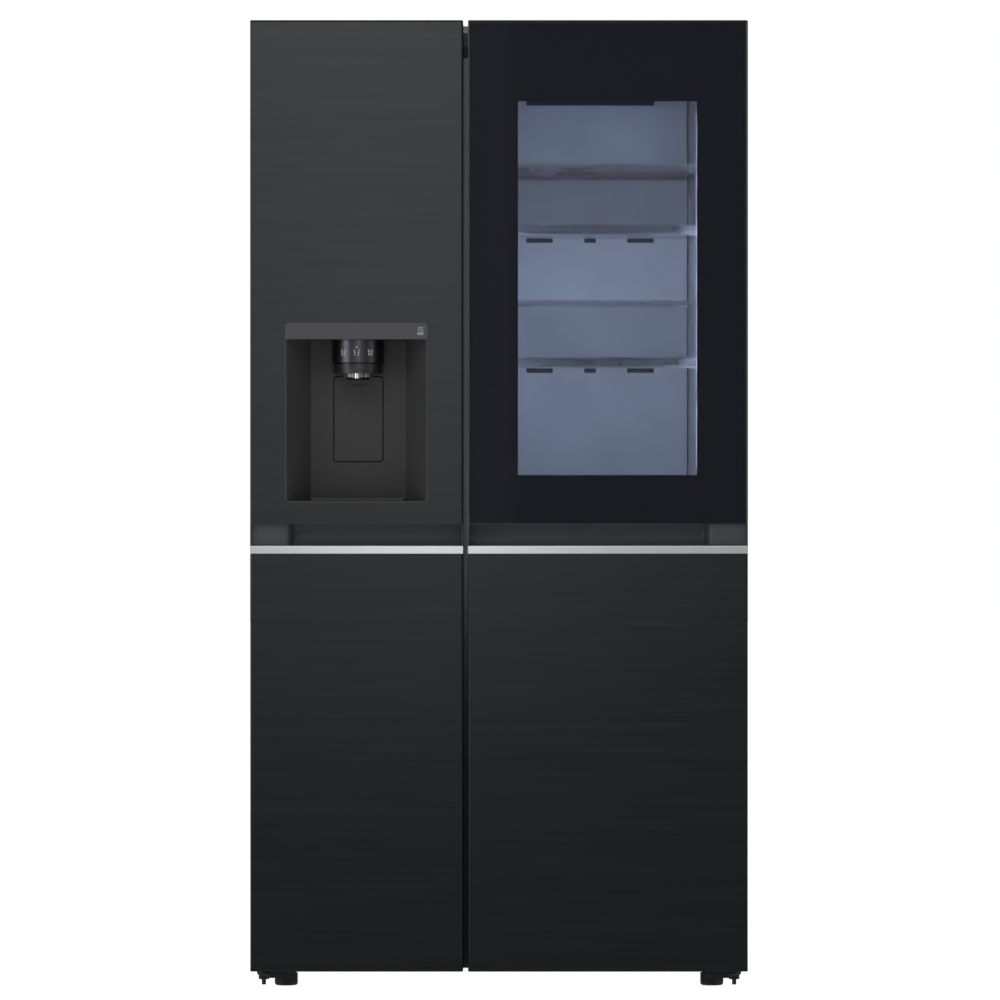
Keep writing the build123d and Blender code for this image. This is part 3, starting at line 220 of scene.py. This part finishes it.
def make_rubber():
    """Grey magnetic seal with fine lengthwise ribs."""
    s = Shader("seal_rubber", (0.10, 0.10, 0.105), 0.0, 0.62)
    w = s.tree.nodes.new("ShaderNodeTexWave")
    w.inputs["Scale"].default_value = 160.0
    w.inputs["Distortion"].default_value = 0.3
    s.link(s.scaled((1, 1, 1)), w.inputs["Vector"])
    grain = s.noise((700.0,) * 3, 2.0)
    s.color(s.mix(s.remap(grain, 0.3, 0.7, 0.0, 1.0), (0.085, 0.085, 0.09), (0.12, 0.12, 0.125)))
    s.bump(w.outputs["Fac"], 0.0002, 0.4)
    return s.mat


FILM_FRONT, FILM_BACK = -0.3560, -0.3550                    # the film fades out between these depths


def make_foam():
    """Cream insulating foam, with a dark bonding film right behind the front skins."""
    s = Shader("foam", (0.80, 0.72, 0.48), 0.0, 0.85)
    cells = s.noise((700.0,) * 3, 3.0)
    cream = s.mix(s.remap(cells, 0.3, 0.7, 0.0, 1.0), (0.70, 0.62, 0.40), (0.84, 0.77, 0.54))
    s.color(s.mix(s.remap(s.axis(1), FILM_FRONT, FILM_BACK, 0.0, 1.0), (0.012, 0.012, 0.013), cream))
    s.bump(cells, 0.0002, 0.5)
    return s.mat


def make_head():
    """Dark metallic lacquer of the selector head: near black with an upright sheen."""
    s = Shader("head_lacquer", (0.080, 0.078, 0.087), 1.0, 0.30)
    fine = s.noise((900.0, 900.0, 6.0), 2.0)
    s.color(s.mix(s.remap(fine, 0.3, 0.7, 0.0, 1.0), (0.076, 0.074, 0.083), (0.085, 0.082, 0.092)))
    s.rough(s.remap(fine, 0.3, 0.7, 0.28, 0.32))
    return s.mat


def make_collar():
    """Turned dark metal collar over a light grey outlet ring, with a black rubber disc below."""
    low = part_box("dispenser_collar")[0].z
    s = Shader("collar_metal", (0.10, 0.10, 0.10), 0.9, 0.36)
    ring = s.noise((60.0, 60.0, 1500.0), 2.0)
    turned = s.mix(s.remap(ring, 0.35, 0.65, 0.0, 1.0), (0.026, 0.026, 0.027), (0.085, 0.085, 0.087))
    ticks = s.noise((330.0, 40.0, 40.0), 1.0)
    outlet = s.mix(s.remap(ticks, 0.45, 0.55, 0.0, 1.0), (0.05, 0.05, 0.05), (0.34, 0.34, 0.35))
    height = s.axis(2)
    upper = s.mix(s.remap(height, low + 0.0110, low + 0.0112, 0.0, 1.0), outlet, turned)
    s.color(s.mix(s.remap(height, low + 0.0029, low + 0.0031, 0.0, 1.0), (0.004, 0.004, 0.004), upper))
    s.rough(s.remap(ring, 0.35, 0.65, 0.32, 0.44))
    s.bump(ring, 0.00005, 0.5)
    return s.mat


rubber, foam, head_lacquer, collar_metal = make_rubber(), make_foam(), make_head(), make_collar()

LOOKS = {
    steel: ("freezer_door_upper_panel", "freezer_door_lower_panel", "fridge_door_lower_panel"),
    frame_metal: ("fridge_door_upper_frame",),
    strip_metal: ("freezer_door_trim_strip", "fridge_door_trim_strip"),
    zinc: ("upper_hinges",),
    hinge_metal: ("lower_hinges", "hinge_adjusting_bolts", "base_frame"),
    aluminium: ("condenser",),
    chrome: ("dispenser_nozzle",),
    cabinet_paint: ("cabinet_case",),
    mullion_paint: ("mullion_strip",),
    rear_paint: ("rear_panel", "machine_cover"),
    channel_plastic: ("freezer_door_handle_channel", "fridge_door_handle_channel"),
    cap_plastic: ("freezer_door_end_caps", "fridge_door_end_caps"),
    cover_plastic: ("top_covers", "condenser_fan_shroud", "condenser_fan"),
    foot_plastic: ("left_levelling_foot", "right_levelling_foot", "left_rear_roller",
                   "right_rear_roller"),
    white_plastic: ("freezer_liner", "fridge_liner", "fridge_shelf_trims"),
    door_liner_shaded_white: ("freezer_door_liner", "fridge_door_liner", "ice_maker"),
    duct_plastic: ("fridge_duct_panel", "freezer_duct_panel"),
    foam: ("cabinet_insulation", "freezer_door_insulation", "fridge_door_insulation"),
    black_paint: ("compressor",),
    recess_plastic: ("dispenser_housing", "dispenser_drip_tray"),
    paddle_plastic: ("dispenser_paddle",),
    fascia_plastic: ("dispenser_fascia",),
    frame_black: ("window_frame",),
    rubber: ("freezer_door_gasket", "fridge_door_gasket"),
    head_lacquer: ("dispenser_head",),
    collar_metal: ("dispenser_collar",),
    basket_clear: ("freezer_door_baskets", "fridge_door_baskets", "ice_bin"),
    drawer_clear: ("fridge_drawer_upper", "fridge_drawer_lower", "freezer_drawer_upper",
                   "freezer_drawer_lower"),
    shelf_glass: ("freezer_shelves", "fridge_shelves"),
    inner_glass: ("window_inner_glass",),
    front_glass: ("fridge_door_glass",),
    lamp_cover: ("fridge_ceiling_light",),
}
for material, names in LOOKS.items():
    for name in names:
        data = nodes[name].data
        data.materials.clear()
        data.materials.append(material)


# ---------------------------------------------------------------- piece makers
def piece(name, bm, material, body, bevel=0.0):
    """A finished mesh that rides on a body."""
    bmesh.ops.recalc_face_normals(bm, faces=bm.faces)
    mesh = bpy.data.meshes.new(name)
    bm.to_mesh(mesh)
    bm.free()
    mesh.materials.append(material)
    obj = bpy.data.objects.new(name, mesh)
    bpy.context.scene.collection.objects.link(obj)
    if bevel:
        mod = obj.modifiers.new("edge", "BEVEL")
        mod.width, mod.segments, mod.limit_method = bevel, 2, "ANGLE"
    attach(obj, body)
    return obj


def solid(bm, corners):
    """Adds a closed six sided block from its eight corners, low ring then high ring."""
    v = [bm.verts.new(c) for c in corners]
    for quad in ((0, 3, 2, 1), (4, 5, 6, 7), (0, 1, 5, 4), (1, 2, 6, 5), (2, 3, 7, 6), (3, 0, 4, 7)):
        bm.faces.new([v[i] for i in quad])


def slab(bm, x, y, z):
    """Adds a block from its span along each axis, in metres."""
    solid(bm, [(x[0], y[0], z[0]), (x[1], y[0], z[0]), (x[1], y[1], z[0]), (x[0], y[1], z[0]),
               (x[0], y[0], z[1]), (x[1], y[0], z[1]), (x[1], y[1], z[1]), (x[0], y[1], z[1])])


def ring_sheet(bm, outer, inner, y):
    """Adds a flat frame in the XZ plane between two rectangles (x0, z0, x1, z1)."""
    for depth in y:
        for x0, z0, x1, z1 in (outer, inner):
            for x, z in ((x0, z0), (x1, z0), (x1, z1), (x0, z1)):
                bm.verts.new((x, depth, z))
    bm.verts.ensure_lookup_table()
    v = bm.verts
    n = len(v) - 16
    for i in range(4):
        j = (i + 1) % 4
        bm.faces.new((v[n + i], v[n + j], v[n + 4 + j], v[n + 4 + i]))
        bm.faces.new((v[n + 8 + i], v[n + 8 + j], v[n + 12 + j], v[n + 12 + i]))
        bm.faces.new((v[n + i], v[n + j], v[n + 8 + j], v[n + 8 + i]))
        bm.faces.new((v[n + 4 + i], v[n + 4 + j], v[n + 12 + j], v[n + 12 + i]))


def stroke(bm, a, b, width, lift, place):
    """Adds a thin raised bar from a to b on a surface, given place(u, v, height)."""
    d = Vector((b[0] - a[0], b[1] - a[1]))
    d.normalize()
    n = Vector((-d.y, d.x)) * width / 2
    flat = [(a[0] - n.x, a[1] - n.y), (b[0] - n.x, b[1] - n.y),
            (b[0] + n.x, b[1] + n.y), (a[0] + n.x, a[1] + n.y)]
    solid(bm, [place(u, v, -0.0001) for u, v in flat] + [place(u, v, lift) for u, v in flat])


def on_front(y):
    """Places (x, z, height) on a flat face that looks along -Y."""
    return lambda u, v, h: (u, y - h, v)


def on_back(y):
    """Places (x, z, height) on a flat face that looks along +Y."""
    return lambda u, v, h: (u, y + h, v)


def on_round(centre_x, centre_y, radius):
    """Places (arc length, z, height) on the front of an upright cylinder."""
    def place(u, v, h):
        a = u / radius
        return (centre_x + (radius + h) * math.sin(a), centre_y - (radius + h) * math.cos(a), v)
    return place


def outline(bm, points, width, lift, place, closed=False):
    """Adds strokes along a line of points."""
    pairs = list(zip(points, points[1:]))
    if closed:
        pairs.append((points[-1], points[0]))
    for a, b in pairs:
        stroke(bm, a, b, width, lift, place)


def rounded(x0, z0, x1, z1, r, steps=5):
    """Corner points of a rounded rectangle."""
    points = []
    for cx, cz, start in ((x1 - r, z1 - r, 0), (x0 + r, z1 - r, 90), (x0 + r, z0 + r, 180),
                          (x1 - r, z0 + r, 270)):
        for i in range(steps + 1):
            a = math.radians(start + 90 * i / steps)
            points.append((cx + r * math.cos(a), cz + r * math.sin(a)))
    return points


def screw(bm, at, normal, radius, dome=0.45, segments=20):
    """Adds a domed cross-head screw at a point, facing along normal."""
    n = Vector(normal).normalized()
    u = n.orthogonal().normalized()
    w = n.cross(u)
    rings = []
    for r, h in ((1.0, -0.2), (1.0, 0.12), (0.86, 0.30), (0.55, dome), (0.50, dome * 0.96)):
        ring = []
        for i in range(segments):
            a = math.tau * i / segments
            p = Vector(at) + (u * math.cos(a) + w * math.sin(a)) * r * radius + n * h * radius
            ring.append(bm.verts.new(p))
        rings.append(ring)
    for low, high in zip(rings, rings[1:]):
        for i in range(segments):
            j = (i + 1) % segments
            bm.faces.new((low[i], low[j], high[j], high[i]))
    bm.faces.new(rings[0])
    for i in range(segments):                               # four sunken points make the cross
        deep = 0.30 if i % (segments // 4) == 0 else 0.02
        rings[-1][i].co -= n * deep * radius * 0.6
    bm.faces.new(rings[-1])


# ----------------------------------------------------------------- window print
glass_low, glass_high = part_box("fridge_door_glass")
frame_low, frame_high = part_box("window_frame")
WALL = 0.014                                                # window frame wall and margin
window = (frame_low.x + WALL, frame_low.z + WALL, frame_high.x - WALL, frame_high.z - WALL)
bm = bmesh.new()
ring_sheet(bm, (glass_low.x + 0.001, glass_low.z + 0.001, glass_high.x - 0.001, glass_high.z - 0.001),
           window, (glass_high.y + 0.00005, frame_low.y - 0.0004))
piece("glass_print", bm, print_black, "fridge_door")

# ------------------------------------------------------------------- icons
head_low, head_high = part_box("dispenser_head")
radius = (head_high.x - head_low.x) / 2
head = on_round((head_low.x + head_high.x) / 2, head_low.y + radius, radius)
dot_z, icon_z = head_low.z + 0.0293, head_low.z + 0.0202
ICON_LIFT = 0.0001
SPOTS = (-0.0277, -0.0017, 0.0245)                          # crushed ice, water, cubes
bm = bmesh.new()
for kind, u in enumerate(SPOTS):                            # each symbol is a small beaker
    outline(bm, [(u - 0.0046, icon_z + 0.0056), (u - 0.0036, icon_z - 0.0054),
                 (u + 0.0036, icon_z - 0.0054), (u + 0.0046, icon_z + 0.0056)],
            0.0011, ICON_LIFT, head)
    if kind == 1:
        stroke(bm, (u - 0.0038, icon_z - 0.0004), (u + 0.0038, icon_z - 0.0004),
               0.0010, ICON_LIFT, head)
    elif kind == 0:
        for dx, dz in ((-0.0018, -0.0030), (0.0016, -0.0024), (-0.0006, 0.0002), (0.0020, 0.0022),
                       (-0.0020, 0.0034)):
            stroke(bm, (u + dx - 0.0009, icon_z + dz - 0.0006),
                   (u + dx + 0.0009, icon_z + dz + 0.0006), 0.0012, ICON_LIFT, head)
    else:
        for dx, dz in ((-0.0018, -0.0030), (0.0018, -0.0030), (0.0, 0.0004), (0.0026, 0.0026),
                       (-0.0024, 0.0030)):
            stroke(bm, (u + dx - 0.0011, icon_z + dz), (u + dx + 0.0011, icon_z + dz),
                   0.0022, ICON_LIFT, head)
piece("head_icons", bm, icon_lit, "freezer_door")

for name, dots, size, look in (("head_lit_dot", SPOTS[1:2], 0.0011, icon_lit),
                               ("head_dark_dots", SPOTS[::2], 0.0009, cap_plastic)):
    bm = bmesh.new()
    for u in dots:
        ring = [(u + size * math.cos(math.tau * i / 12), dot_z + size * math.sin(math.tau * i / 12))
                for i in range(12)]
        outline(bm, ring, size, ICON_LIFT, head, True)
    piece(name, bm, look, "freezer_door")

fascia_low, fascia_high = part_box("dispenser_fascia")
fascia = on_front(fascia_low.y)
bm = bmesh.new()
right = fascia_high.x - 0.0085
top = fascia_high.z - 0.0085
for column in range(3):                                     # three short stacks of bars
    x = right - 0.0085 + 0.0036 * column
    for row in range(5):
        z = top - 0.0032 * row
        half = 0.0015 if (row + column) % 3 else 0.0011
        stroke(bm, (x - half, z), (x + half, z), 0.0016, ICON_LIFT, fascia)
stroke(bm, (right - 0.0115, top - 0.0112), (right + 0.0005, top - 0.0112), 0.0014, ICON_LIFT, fascia)
piece("fascia_icon", bm, icon_dim, "freezer_door")

paddle_low, paddle_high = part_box("dispenser_paddle")
middle, grip_z = (paddle_low.x + paddle_high.x) / 2, paddle_high.z - 0.0156
bm = bmesh.new()
stroke(bm, (middle - 0.0118, grip_z), (middle + 0.0118, grip_z), 0.0019, ICON_LIFT,
       on_front(paddle_low.y))
piece("paddle_grip_line", bm, cap_plastic, "paddle")

# ------------------------------------------------------------- duct vent inserts: dark plates and fins, painted shade inside the slots
NARROW, WIDE = 0.0234, 0.0527                               # widths of the slots in a row
for compartment, centre, drops, row in (                    # drops: rows below the panel's top
        ("fridge", 0.1894, (0.029, 0.297, 0.551, 0.831, 1.113),
         ((-0.0986, WIDE), (0.0, NARROW), (0.0986, WIDE))),
        ("freezer", 0.1000, (0.281, 0.521, 0.761, 1.001), ((0.0, NARROW),))):
    low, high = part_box(f"{compartment}_duct_panel")
    bm = bmesh.new()
    for drop in drops:
        z = (high.z - drop + 0.0003, high.z - drop + 0.0091)
        for dx, width in row:
            middle = low.x + centre + dx
            x0, x1 = middle - width / 2 + 0.0004, middle + width / 2 - 0.0004
            # dark plate at the back of each slot is painted shade; the fins share its dark colour
            slab(bm, (x0, x1), (low.y + 0.0075, low.y + 0.0088), z)
            count = max(3, int(width / 0.0065))
            for i in range(1, count):                       # upright fins across the slot
                x = x0 + (x1 - x0) * i / count
                slab(bm, (x - 0.0005, x + 0.0005), (low.y + 0.0030, low.y + 0.0076), z)
    piece(f"{compartment}_vent_shade_inserts", bm, painted_vent_shade, "cabinet")

for compartment in ("fridge", "freezer"):                   # dark strips down the sides of the ducts, painted as the shadow in the gap beside each panel
    low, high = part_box(f"{compartment}_duct_panel")
    bm = bmesh.new()
    for x0, x1 in ((low.x - 0.0019, low.x - 0.0001), (high.x + 0.0001, high.x + 0.0019)):
        slab(bm, (x0, x1), (low.y + 0.0035, high.y - 0.0005), (low.z + 0.002, high.z - 0.002))
    piece(f"{compartment}_duct_gap_shade", bm, painted_vent_shade, "cabinet", bevel=0.0003)
low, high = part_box("fridge_duct_panel")
bm = bmesh.new()                                            # long slotted grille at the top, dark as painted shade in its slots
z = (high.z - 0.029, high.z - 0.019)
slab(bm, (low.x + 0.0652, low.x + 0.3147), (low.y - 0.0002, low.y + 0.0004), z)
for i in range(24):
    x = low.x + 0.0677 + 0.0104 * i
    slab(bm, (x, x + 0.0012), (low.y - 0.0010, low.y - 0.0001), z)
piece("fridge_top_grille", bm, painted_vent_shade, "cabinet")

# ------------------------------------------------------------ basket edge bands: frosted strips painted as the light catching basket rims and floors
for door, baskets in (                                      # floor and rim heights, and depth
        ("fridge", ((1.238, 1.356, 0.112), (0.990, 1.110, 0.112), (0.660, 0.778, 0.112),
                    (0.320, 0.438, 0.087), (0.0, 0.140, 0.087))),
        ("freezer", ((0.540, 0.658, 0.102), (0.270, 0.388, 0.087), (0.0, 0.140, 0.087)))):
    low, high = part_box(f"{door}_door_baskets")
    bm = bmesh.new()
    for floor_height, rim_height, depth in baskets:
        bottom, rim, rear = low.z + floor_height, low.z + rim_height, low.y + depth
        for z0, z1 in ((rim - 0.0085, rim + 0.0006), (bottom - 0.0006, bottom + 0.0110)):
            slab(bm, (low.x + 0.002, high.x - 0.002), (low.y - 0.0008, low.y - 0.0001), (z0, z1))
            slab(bm, (low.x + 0.020, high.x - 0.020), (rear + 0.0001, rear + 0.0009), (z0, z1))
        slab(bm, (low.x + 0.020, high.x - 0.020), (rear + 0.0001, rear + 0.0006),
             (bottom + 0.0165, bottom + 0.0180))
    piece(f"{door}_basket_highlight_bands", bm, basket_rim_highlight, f"{door}_door", bevel=0.0002)

# ---------------------------------------------------------------- cabinet screws
case_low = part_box("cabinet_case")[0]
rear_low, rear_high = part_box("rear_panel")
cover_low, cover_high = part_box("machine_cover")
SCREW_RADIUS = 0.0045
bm = bmesh.new()
for x in (-0.41, -0.205, 0.0, 0.205, 0.41):
    for z in (rear_low.z + 0.014, rear_high.z - 0.014):
        screw(bm, (x, rear_high.y, z), (0, 1, 0), SCREW_RADIUS)
    screw(bm, (x, cover_high.y, cover_high.z - 0.012), (0, 1, 0), SCREW_RADIUS)
    screw(bm, (x, cover_high.y, cover_low.z + 0.010), (0, 1, 0), SCREW_RADIUS)
for z in (0.6, 0.93, 1.26):
    for x in (rear_low.x + 0.010, rear_high.x - 0.010):
        screw(bm, (x, rear_high.y, z), (0, 1, 0), SCREW_RADIUS)
piece("cabinet_screws", bm, zinc, "cabinet")
bm = bmesh.new()                                            # pressed beads stiffen the rear sheet
for x0, x1 in ((-0.40, -0.035), (0.035, 0.40)):
    outline(bm, rounded(x0, rear_low.z + 0.068, x1, rear_high.z - 0.063, 0.05, 8), 0.010, 0.0009,
            on_back(rear_high.y), True)
piece("rear_beads", bm, rear_paint, "cabinet", bevel=0.0006)
mullion_low, mullion_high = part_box("mullion_strip")
bm = bmesh.new()
for z in ((mullion_high.z + 0.0003, mullion_high.z + 0.0090),
          (case_low.z + 0.0005, mullion_low.z - 0.0003)):
    slab(bm, (mullion_low.x + 0.001, mullion_high.x - 0.001),
         (case_low.y - 0.0004, case_low.y + 0.0001), z)
piece("mullion_end_plates", bm, mullion_paint, "cabinet", bevel=0.0003)
bm = bmesh.new()
screw(bm, (mullion_low.x + 0.0196, case_low.y - 0.0004, case_low.z + 0.0535), (0, -1, 0),
      0.0022, 0.2)
piece("mullion_screw", bm, cap_plastic, "cabinet")

# ------------------------------------------------------------------------ floor
bm = bmesh.new()
bmesh.ops.create_grid(bm, x_segments=8, y_segments=8, size=30)
floor_mesh = bpy.data.meshes.new("floor")
bm.to_mesh(floor_mesh)
bm.free()
floor_look = Shader("floor_paper", (0.86, 0.86, 0.86), 0.0, 0.9)
mottle = floor_look.noise((0.7,) * 3, 3.0)
floor_look.color(floor_look.mix(mottle, (0.84, 0.84, 0.84), (0.88, 0.88, 0.88)))
floor_look.set("Emission Color", (1, 1, 1, 1))
floor_look.set("Emission Strength", 0.96)
floor_look.set("Specular IOR Level", 0.0)
floor_mesh.materials.append(floor_look.mat)
floor = bpy.data.objects.new("floor", floor_mesh)
bpy.context.scene.collection.objects.link(floor)
floor.visible_glossy = False

# ----------------------------------------------------------------- studio world
world = bpy.data.worlds.new("studio")
bpy.context.scene.world = world
world.use_nodes = True
tree = world.node_tree
tree.nodes.clear()
out = tree.nodes.new("ShaderNodeOutputWorld")
path = tree.nodes.new("ShaderNodeLightPath")
white = tree.nodes.new("ShaderNodeBackground")
white.inputs["Color"].default_value = (1, 1, 1, 1)
white.inputs["Strength"].default_value = 1.02
room = tree.nodes.new("ShaderNodeBackground")
room.inputs["Color"].default_value = (0.97, 0.98, 1.0, 1)
coord = tree.nodes.new("ShaderNodeTexCoord")
split = tree.nodes.new("ShaderNodeSeparateXYZ")
tree.links.new(coord.outputs["Generated"], split.inputs[0])
front = tree.nodes.new("ShaderNodeMapRange")                # dimmer where the camera stands
front.interpolation_type = "SMOOTHSTEP"
for i, v in enumerate((0.0, -1.0, -0.45, 0.10, 0.25)):
    front.inputs[i].default_value = v
tree.links.new(split.outputs[1], front.inputs[0])
height = tree.nodes.new("ShaderNodeMapRange")               # brighter overhead
height.interpolation_type = "SMOOTHSTEP"
for i, v in enumerate((0.0, -0.2, 0.9, 0.0, 0.45)):
    height.inputs[i].default_value = v
tree.links.new(split.outputs[2], height.inputs[0])
total = tree.nodes.new("ShaderNodeMath")
total.operation = "ADD"
tree.links.new(front.outputs[0], total.inputs[0])
tree.links.new(height.outputs[0], total.inputs[1])
tree.links.new(total.outputs[0], room.inputs["Strength"])
mixer = tree.nodes.new("ShaderNodeMixShader")
tree.links.new(path.outputs["Is Camera Ray"], mixer.inputs[0])
tree.links.new(room.outputs[0], mixer.inputs[1])
tree.links.new(white.outputs[0], mixer.inputs[2])
tree.links.new(mixer.outputs[0], out.inputs[0])


# ----------------------------------------------------------------------- lights
def panel_light(name, at, toward, size, radiance, color=(1, 1, 1)):
    """Rectangular soft light of a given radiance, seen only in what it lights."""
    data = bpy.data.lights.new(name, "AREA")
    data.shape = "RECTANGLE"
    data.size, data.size_y = size
    data.energy = radiance * math.pi * size[0] * size[1]
    data.color = color
    obj = bpy.data.objects.new(name, data)
    obj.location = at
    obj.rotation_euler = (Vector(toward) - Vector(at)).to_track_quat("-Z", "Y").to_euler()
    obj.visible_camera = False
    bpy.context.scene.collection.objects.link(obj)
    return obj


def span_light(name, x, z, y, radiance):
    """Upright panel in front of the refrigerator, facing it squarely."""
    at = ((x[0] + x[1]) / 2, y, (z[0] + z[1]) / 2)
    return panel_light(name, at, (at[0], 0.0, at[2]), (x[1] - x[0], z[1] - z[0]), radiance)


span_light("wide_softbox", (-1.3, 0.72), (0.68, 2.6), -2.3, 0.34)
span_light("centre_softbox", (-0.36, 0.03), (0.66, 2.5), -2.29, 1.05)
panel_light("left_strip", (-2.40, -1.85, 1.15), (-0.26, -0.35, 1.15), (1.05, 1.7), 2.2)
panel_light("right_strip", (2.30, -1.75, 1.1), (0.1, -0.35, 1.1), (0.5, 1.7), 0.8)
panel_light("key", (-0.9, -2.1, 3.1), (-0.1, -0.37, 0.9), (1.6, 1.0), 6.5)
panel_light("top_softbox", (0.0, 0.2, 3.6), (0.0, 0.0, 0.9), (2.4, 2.0), 1.2)
panel_light("back_softbox", (0.8, 3.4, 2.0), (0.0, 0.3, 0.9), (2.0, 2.0), 0.8)

COOL = (0.62, 0.72, 1.0)
CAVITY_X = 0.184                                            # middle of the fridge compartment
lamp_low, lamp_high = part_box("fridge_ceiling_light")
shelf_low, shelf_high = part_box("fridge_shelves")
lamp_x, lamp_y = (lamp_low.x + lamp_high.x) / 2, (lamp_low.y + lamp_high.y) / 2
panel_light("fridge_lamp", (lamp_x, lamp_y, lamp_low.z - 0.002), (lamp_x, lamp_y, 0.5),
            (0.18, 0.10), 5.0, COOL)
for side, x in (("left", shelf_low.x + 0.002), ("right", shelf_high.x - 0.002)):
    panel_light(f"fridge_side_lamp_{side}", (x, -0.175, 1.22), (CAVITY_X, 0.12, 1.22),
                (0.014, 0.50), 29.0, COOL)
panel_light("fridge_centre_lamp", (CAVITY_X, -0.12, 1.24), (CAVITY_X, 0.30, 1.24),
            (0.10, 0.36), 3.4, COOL)
for side, x in (("left", window[0] - 0.008), ("right", window[2] + 0.008)):
    panel_light(f"window_lamp_{side}", (x, -0.335, 1.29), (0.199, -0.20, 1.29),
                (0.014, 0.66), 14.0, COOL)

# ----------------------------------------------------------------------- camera
camera = bpy.data.cameras.new("camera")
camera.sensor_width = 36.0
camera.lens = 196.36
camera.clip_end = 200.0
view = bpy.data.objects.new("camera", camera)
CAMERA_BACK = 10.001                                        # metres in front of the glass
view.location = (0.0018, glass_low.y - CAMERA_BACK, 0.9)
view.rotation_euler = (math.radians(90), 0, 0)
bpy.context.scene.collection.objects.link(view)
bpy.context.scene.camera = view
bpy.context.scene.view_settings.view_transform = "Standard"
